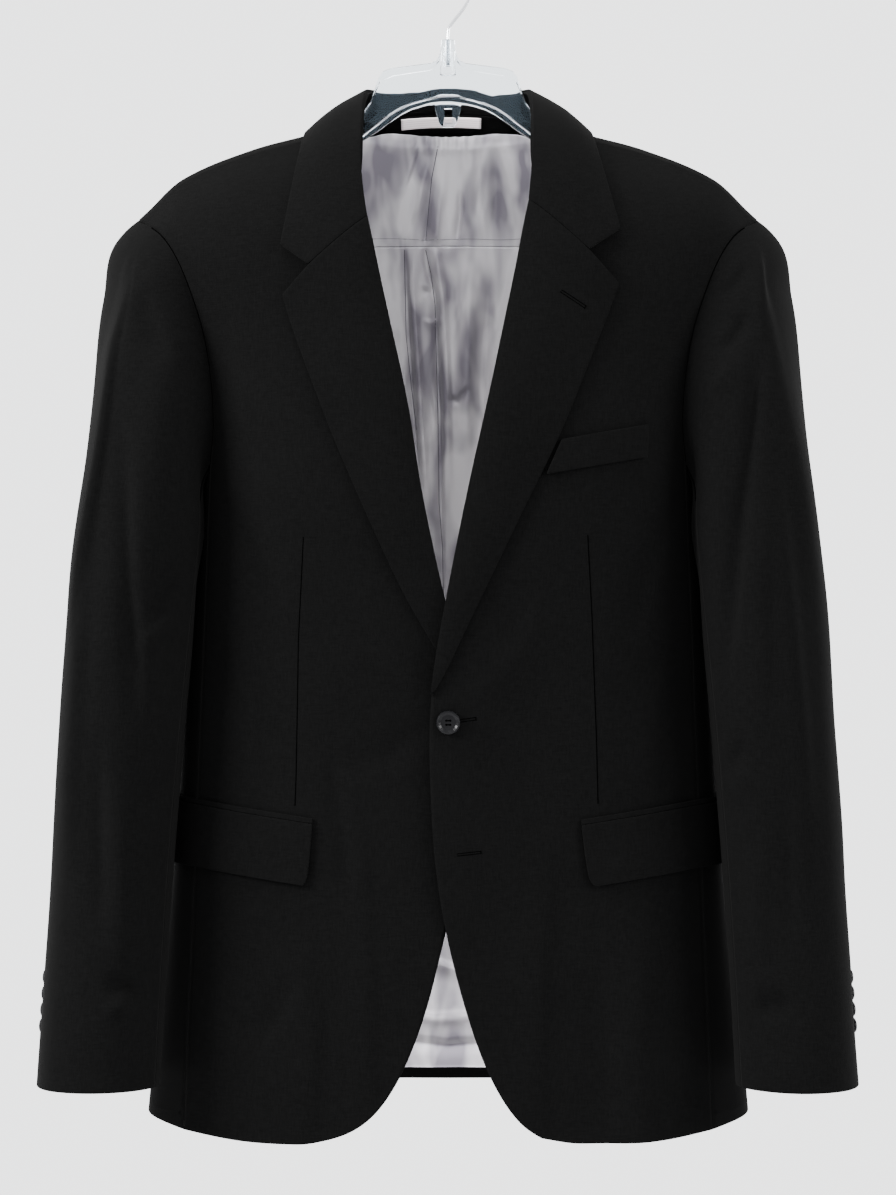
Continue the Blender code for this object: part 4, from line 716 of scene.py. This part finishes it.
# lining: folds, gathers below the neck and a pleat down the middle
liningFolds = (
    # the middle pleat, its soft shadows, and the small creases beside it
    (((-0.0077, -0.132), (-0.0147, -0.168), (-0.0178, -0.203), (-0.0163, -0.220), (-0.010, -0.240),
      (-0.0085, -0.282), (-0.0062, -0.334), (-0.005, -0.420), (-0.004, -0.520)), 0.0024, 0.0062),
    (((-0.0005, -0.135), (-0.006, -0.170), (-0.010, -0.205), (-0.004, -0.245), (-0.001, -0.300),
      (0.001, -0.420)), 0.0036, -0.0044),
    (((-0.034, -0.190), (-0.0340, -0.205), (-0.0325, -0.230), (-0.0263, -0.334), (-0.020, -0.420)),
     0.0026, 0.0057),
    (((-0.028, -0.200), (-0.0265, -0.240), (-0.020, -0.340), (-0.014, -0.440)), 0.0033, -0.0039),
    (((0.0093, -0.160), (0.0098, -0.176), (0.0062, -0.204)), 0.0022, 0.0044),
    (((-0.022, -0.118), (-0.026, -0.135), (-0.036, -0.165)), 0.0032, 0.0039),
    (((-0.014, -0.140), (-0.020, -0.160), (-0.026, -0.190)), 0.0036, -0.0036),
    (((0.022, -0.122), (0.025, -0.150), (0.022, -0.190)), 0.0043, 0.0039),
    (((0.036, -0.125), (0.037, -0.160), (0.036, -0.200)), 0.0043, 0.0039),
    (((0.032, -0.210), (0.030, -0.260), (0.026, -0.330), (0.020, -0.400)), 0.0050, 0.0051),
    (((0.016, -0.215), (0.016, -0.280), (0.013, -0.380)), 0.0058, -0.0042),
    (((-0.022, -0.236), (-0.014, -0.238), (-0.008, -0.246)), 0.0026, 0.0030),
    (((-0.020, -0.262), (-0.012, -0.262), (-0.004, -0.256)), 0.0026, -0.0027),
    (((-0.002, -0.320), (0.008, -0.322), (0.018, -0.310)), 0.0029, 0.0027),
    (((-0.016, -0.300), (-0.012, -0.340), (-0.010, -0.380)), 0.0032, 0.0030),
    (((-0.050, -0.745), (-0.020, -0.752), (0.020, -0.768)), 0.0043, 0.0044),
    (((-0.060, -0.790), (-0.010, -0.800), (0.040, -0.796)), 0.0043, 0.0060),
    (((-0.060, -0.812), (0.000, -0.820), (0.050, -0.815)), 0.0043, -0.0053),
    (((-0.020, -0.690), (-0.016, -0.740), (-0.022, -0.800)), 0.0050, 0.0044),
    (((0.008, -0.680), (0.010, -0.740), (0.014, -0.800)), 0.0058, -0.0039),
    (((0.030, -0.700), (0.028, -0.760), (0.034, -0.810)), 0.0050, 0.0042),
    (((-0.090, -0.300), (-0.096, -0.480), (-0.100, -0.760)), 0.0101, -0.0044),
    (((0.090, -0.320), (0.094, -0.500), (0.096, -0.740)), 0.0101, -0.0044),
    (((-0.060, -0.240), (-0.062, -0.420), (-0.056, -0.640)), 0.0086, 0.0044),
    (((0.060, -0.260), (0.064, -0.460), (0.060, -0.660)), 0.0086, 0.0042),
)
liningGathers = {
    "top": -0.116,
    "foot": -0.146,
    "spacing": 0.0105,
    "sway": (5, 70),  # how far and how often the spacing varies
    "depth": 0.0017,
    "room": 0.0052,
    "ripple": 0.0014,
    "rippleSize": 0.018,
    "rippleStretch": (1, 0, 0.25),
}
liningCalm = {
    # metres: the yoke's seam, the pressed tuck above it, and the edges that are sewn down
    "seam": -0.203,
    "seamHalf": 0.005,
    "seamHold": 0.85,
    "tuck": -0.1325,
    "tuckHalf": 0.0030,
    "tuckDepth": 0.0014,
    "sides": (0.118, 0.146),
    "hem": (-0.853, -0.835),
    "neck": (-0.117, -0.128),
    "sewnShare": 0.25,
    "clearance": 0.5 * mm,
}


def pressLining(piece, backTree):
    places = points(piece)
    across, depth, height = places.T
    away = foldLift(liningFolds, across, height)
    gathers = liningGathers
    far, often = gathers["sway"]
    wave = np.sin(2 * math.pi * across / gathers["spacing"] + far * np.sin(across * often))
    away += gathers["depth"] * wave * ramp(gathers["foot"], gathers["top"], height)
    away += uneven(places * gathers["rippleStretch"], gathers["rippleSize"], gathers["ripple"])
    calm = liningCalm
    away -= calm["tuckDepth"] * np.exp(-(((height - calm["tuck"]) / calm["tuckHalf"]) ** 2))
    seam = 1 - calm["seamHold"] * np.exp(-(((height - calm["seam"]) / calm["seamHalf"]) ** 2))
    sewn = calm["sewnShare"]
    edges = 1 - ramp(*calm["sides"], np.abs(across))
    edges *= ramp(*calm["hem"], height) * ramp(*calm["neck"], height) * (1 - sewn) + sewn
    moved = places.copy()
    moved[:, 1] += np.minimum((away * seam - gathers["room"]) * edges, 0)
    for i, (x, y, z) in enumerate(moved):
        # stays in front of the back's own cloth, which has troughs of its own
        wall = backTree.ray_cast(Vector((x, 0.02, z)), Vector((0, 1, 0)))[0]
        if wall is not None and y > wall.y - calm["clearance"]:
            moved[i, 1] = wall.y - calm["clearance"]
    setPoints(piece, moved)


openings = {"halfWidth": 0.072, "neckFoot": -0.52, "cutawayTop": -0.70}


def inSight(place):
    # what the neck opening and the cutaway leave in view
    shown = place.z > openings["neckFoot"] or place.z < openings["cutawayTop"]
    return abs(place.x) < openings["halfWidth"] and shown


backTree = treeOf([cloth["back_right"], cloth["back_left"]])
for nodeName in ("lining_yoke", "lining_back"):
    piece = refine(shellOf(nodeName, 3), inSight, 2)
    pressLining(piece, backTree)
    cloth[nodeName] = hangCloth(piece, nodeName, nodeName, satin)
cloth["label"] = hangCloth(shellOf("label", 2), "label", "label", ribbon)
print("lining hung")

# buttons, seams, buttonholes and stitching
buttonNodes = [node for name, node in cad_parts.items() if "button" in name]
for node in buttonNodes:
    for held in node.material_slots:
        held.material = resin


def threadMesh(name, lines, finish):
    # one piece of many threads, each a path of places with its radius
    corners = 6  # round each thread
    form = bmesh.new()
    for path, radius in lines:
        rings = []
        for i, place in enumerate(path):
            way = (path[min(i + 1, len(path) - 1)] - path[max(i - 1, 0)]).normalized()
            first = way.orthogonal().normalized()
            second = way.cross(first)
            turns = [math.tau * turn / corners for turn in range(corners)]
            spots = [place + radius * (math.cos(t) * first + math.sin(t) * second) for t in turns]
            rings.append([form.verts.new(spot) for spot in spots])
        for here, ahead in zip(rings, rings[1:]):
            # starts each ring where it lies nearest the last one's start
            start = min(range(corners), key=lambda i: (ahead[i].co - here[0].co).length)
            ahead[:] = ahead[start:] + ahead[:start]
            for i in range(corners):
                form.faces.new((here[i - 1], here[i], ahead[i], ahead[i - 1]))
        form.faces.new(rings[0][::-1])
        form.faces.new(rings[-1])
    mesh = bpy.data.meshes.new(name)
    form.to_mesh(mesh)
    form.free()
    mesh.shade_smooth()
    piece = addPiece(name, mesh, finish)
    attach(piece, "root")
    return piece


def onto(tree, across, height, lift):
    # the place on the cloth straight behind a point of the front view
    hit, normal, _, _ = tree.ray_cast(Vector((across, -1, height)), Vector((0, 1, 0)))
    return hit + normal * lift


def drawn(tree, path, lift, step=2.5 * mm):
    places = []
    for (x0, z0), (x1, z1) in zip(path, path[1:]):
        count = max(2, round(math.hypot(x1 - x0, z1 - z0) / step))
        for i in range(count + 1):
            share = i / count
            places.append(onto(tree, x0 + (x1 - x0) * share, z0 + (z1 - z0) * share, lift))
    return places


darts = {
    # each dart's seam as places in X and Z
    "right": ((-0.1027, -0.4321), (-0.1066, -0.5051), (-0.1084, -0.6043), (-0.1091, -0.6235)),
    "left": ((0.0992, -0.4307), (0.1024, -0.4874), (0.1059, -0.5760), (0.1070, -0.6220)),
}
dartStitch = {"sink": 0.10 * mm, "radius": 0.4 * mm}
dartLines = [
    (drawn(treeOf([cloth[f"front_{name}"]]), path, -dartStitch["sink"]), dartStitch["radius"])
    for name, path in darts.items()
]
threadMesh("dart_seams", dartLines, blackThread)


armholeSeam = {
    "top": -0.205,
    "foot": -0.405,
    "steps": 70,
    "within": (0.12, 0.25),
    "halvings": 16,
    "radius": 0.45 * mm,
}


def armholeLine(name):
    # the seam as the front shows it, where the sleeve takes over from the forepart
    forepart, sleeve = treeOf([cloth[f"front_{name}"]]), treeOf([cloth[f"sleeve_top_{name}"]])
    ahead = Vector((0, 1, 0))
    line = []
    for height in np.linspace(armholeSeam["top"], armholeSeam["foot"], armholeSeam["steps"]):
        (inner, outer), seam = armholeSeam["within"], None
        for _ in range(armholeSeam["halvings"]):
            across = (inner + outer) / 2
            start = Vector((across * sides[name], -1, height))
            bodyHit, sleeveHit = forepart.ray_cast(start, ahead)[0], sleeve.ray_cast(start, ahead)[0]
            if sleeveHit is None or bodyHit is not None and bodyHit.y < sleeveHit.y:
                inner, seam = across, bodyHit or seam
            else:
                outer, seam = across, sleeveHit
        if seam is not None:
            line.append(seam)
    return line, armholeSeam["radius"]


threadMesh("armhole_seams", [armholeLine(name) for name in sides], blackThread)

buttonholes = {
    # piece, both ends, half width of the stitched slit
    "lapel": ("lapel_left", (0.0797, -0.2582), (0.0973, -0.2695), 0.9 * mm),
    "front": ("front_left", (0.0080, -0.5625), (0.0198, -0.5609), 0.9 * mm),
    "lower": ("front_left", (0.0064, -0.6573), (0.0233, -0.6556), 0.8 * mm),
}
holeStitch = {
    "count": 26,
    "ripple": 0.10 * mm,
    "rise": 0.05 * mm,
    "radius": 0.22 * mm,
    "bar": (-1.4, 0, 1.4),  # shares of the slit's half width
    "barRise": 0.15 * mm,
    "barRadius": 0.26 * mm,
}
holeLines = []
for nodeName, first, last, half in buttonholes.values():
    tree = treeOf([cloth[nodeName]])
    run = Vector((last[0] - first[0], 0, last[1] - first[1]))
    square = Vector((-run.z, 0, run.x)).normalized() * half
    count = holeStitch["count"]
    for turn in (-1, 1):
        path = []
        for i in range(count + 1):
            place = Vector((first[0], 0, first[1])) + run * (i / count)
            place += square * turn * (1 - 0.25 * (i in (0, count)))  # its ends draw together
            lift = holeStitch["rise"] + holeStitch["ripple"] * (i % 2)
            path.append(onto(tree, place.x, place.z, lift))
        holeLines.append((path, holeStitch["radius"]))
    bar = [
        onto(tree, last[0] + square.x * share, last[1] + square.z * share, holeStitch["barRise"])
        for share in holeStitch["bar"]
    ]
    holeLines.append((bar, holeStitch["barRadius"]))
threadMesh("buttonholes", holeLines, blackThread)

buttonStitch = {
    # shares of the button's radius, and how the thread lies on the front button, mm
    "reach": (-0.17, -0.13, -0.07, 0, 0.07, 0.13, 0.17),
    "apart": 0.17,
    "radius": 0.055,
    "rise": 0.35,
    "sink": 0.8,
    "frontButton": 8.6,
}
buttonLines = []
for node in buttonNodes:
    corners = np.array([tuple(v.co) for v in node.data.vertices])
    centre = corners.mean(0)
    axis = np.linalg.svd(corners - centre)[2][2]
    axis = Vector(axis) * (1 if axis @ (centre * [1, 1, 0]) > 0 or axis[1] < -0.7 else -1)
    radius = float(np.linalg.norm(corners - centre, axis=1).max())
    level = axis.cross(Vector((0, 0, 1))).normalized()
    up = level.cross(axis)
    tree = treeOf([node])
    for turn in (-1, 1):
        path = []
        for along in buttonStitch["reach"]:
            place = Vector(centre) + (level * along + up * buttonStitch["apart"] * turn) * radius
            deep = tree.ray_cast(place + axis * 0.01, -axis)[0] or place
            ends = abs(along) == buttonStitch["reach"][-1]
            lift = -buttonStitch["sink"] if ends else buttonStitch["rise"]
            path.append(deep + axis * (lift * radius / buttonStitch["frontButton"]))
        buttonLines.append((path, buttonStitch["radius"] * radius))
threadMesh("button_threads", buttonLines, blackThread)

yokeStitch = {
    "height": -0.1985,
    "sway": 0.0004,
    "swayLength": 9,  # mm
    "across": range(-110, 111, 3),  # mm
    "sink": 0.05 * mm,
    "radius": 0.22 * mm,
}
yokeTree = treeOf([cloth["lining_yoke"]])
yokeLine = []
for x in yokeStitch["across"]:
    height = yokeStitch["height"] + yokeStitch["sway"] * math.sin(x / yokeStitch["swayLength"])
    yokeLine.append(onto(yokeTree, x * mm, height, -yokeStitch["sink"]))
threadMesh("yoke_stitching", [(yokeLine, yokeStitch["radius"])], greyThread)

pleatShadowPaths = {
    # painted shadow along the pleats' pressed edges in X and Z: each a thin dark thread in its crease,
    # where the edge's shade falls
    "lining_yoke": [((-0.0077, -0.1305), (-0.0125, -0.1530), (-0.0148, -0.1744), (-0.0171, -0.1990))],
    "lining_back": [
        ((-0.0172, -0.2063), (-0.0132, -0.2240), (-0.0101, -0.2477), (-0.0089, -0.2951),
         (-0.0077, -0.3424), (-0.0070, -0.4016), (-0.0042, -0.4371), (-0.0030, -0.5000)),
        ((-0.0337, -0.2063), (-0.0326, -0.2714), (-0.0290, -0.3069), (-0.0243, -0.3448)),
    ],
}
pleatShade = {"sink": 0.05 * mm, "radius": 0.30 * mm}
pleatShadowLines = [
    (drawn(treeOf([cloth[nodeName]]), path, -pleatShade["sink"]), pleatShade["radius"])
    for nodeName, paths in pleatShadowPaths.items()
    for path in paths
]
threadMesh("painted_pleat_shadows", pleatShadowLines, paintedPleatShadow)
print("sewing done")

# hanger and hook
hangerForm = {"rounding": 0.35 * mm, "tips": (0.12, 0.15), "tipDrop": 0.9 * mm}
hanger = bpy.data.objects.new("hanger_clear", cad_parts["hanger"].data.copy())
bpy.context.scene.collection.objects.link(hanger)
welded = bmesh.new()
welded.from_mesh(hanger.data)
bmesh.ops.remove_doubles(welded, verts=welded.verts, dist=weld)
bmesh.ops.dissolve_limit(welded, angle_limit=math.radians(1), verts=welded.verts, edges=welded.edges)
welded.to_mesh(hanger.data)
welded.free()
rounding = hanger.modifiers.new("rounded", "BEVEL")
rounding.width = hangerForm["rounding"]
rounding.segments = 2
rounding.limit_method = "ANGLE"
rounding.angle_limit = math.radians(40)
applied(hanger)
for corner in hanger.data.vertices:
    # the arms' tips stay just under the cloth, which its smoothing draws in a little
    corner.co.z -= hangerForm["tipDrop"] * float(ramp(*hangerForm["tips"], abs(corner.co.x)))
hanger.data.materials.clear()
hanger.data.materials.append(plastic)
hanger.data.shade_smooth()
hanger.data.set_sharp_from_angle(angle=math.radians(35))
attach(hanger, "root")
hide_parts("hanger")

hook = shellOf("hook", 2, sharpAngle=60)
hook.name = "hook_wire"
hook.data.materials.clear()
hook.data.materials.append(steel)
hook.data.shade_smooth()
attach(hook, "root")
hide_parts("hook")
print("hanger made")

# stage, light and camera
stage = {
    "floorHeight": -1.30,
    "floorSize": 3.3,
    "floorColour": "#dcdcde",
    "air": "#eeeff0",
    "airStrength": 3.4,
}
floorMesh = bpy.data.meshes.new("floor")
half = stage["floorSize"] / 2
floorMesh.from_pydata(
    [(-half, -half, 0), (half, -half, 0), (half, half, 0), (-half, half, 0)], [], [(0, 1, 2, 3)]
)
floor = bpy.data.objects.new("floor", floorMesh)
floor.location.z = stage["floorHeight"]
bpy.context.scene.collection.objects.link(floor)
# uncoated paper, rolled: even and matt
paper = newMaterial("palePaper", {"Roughness": 0.9, "Base Color": linear(stage["floorColour"])})[0]
floorMesh.materials.append(paper)

world = bpy.data.worlds.new("paleStudio")
bpy.context.scene.world = world
world.use_nodes = True
world.node_tree.nodes["Background"].inputs["Color"].default_value = linear(stage["air"])
world.node_tree.nodes["Background"].inputs["Strength"].default_value = stage["airStrength"]

softboxes = {
    # place, size in metres, watts
    "keyLeft": ((-2.2, -1.0, 0.5), 1.0, 330),
    "fillRight": ((2.3, -1.1, 0.3), 1.2, 170),
    "above": ((-0.3, -0.3, 1.6), 1.2, 110),
    "edgeLeft": ((-1.9, 1.2, -0.1), 1.2, 40),
    "edgeRight": ((1.9, 1.2, -0.1), 1.2, 40),
}
middle = Vector((0, 0, -0.45))
for name, (place, size, watts) in softboxes.items():
    lamp = bpy.data.lights.new(name, "AREA")
    lamp.size = size
    lamp.energy = watts
    holder = bpy.data.objects.new(name, lamp)
    holder.location = place
    holder.rotation_euler = (middle - Vector(place)).to_track_quat("-Z", "Y").to_euler()
    bpy.context.scene.collection.objects.link(holder)

shot = {"distance": 2.0, "height": -0.475, "pixelSize": 0.742 * mm, "pixelsHigh": 1195}
lens = bpy.data.cameras.new("camera")
lens.lens = lens.sensor_width * shot["distance"] / (shot["pixelSize"] * shot["pixelsHigh"])
camera = bpy.data.objects.new("camera", lens)
camera.location = (0, -shot["distance"], shot["height"])
camera.rotation_euler = (math.pi / 2, 0, 0)
bpy.context.scene.collection.objects.link(camera)
bpy.context.scene.camera = camera
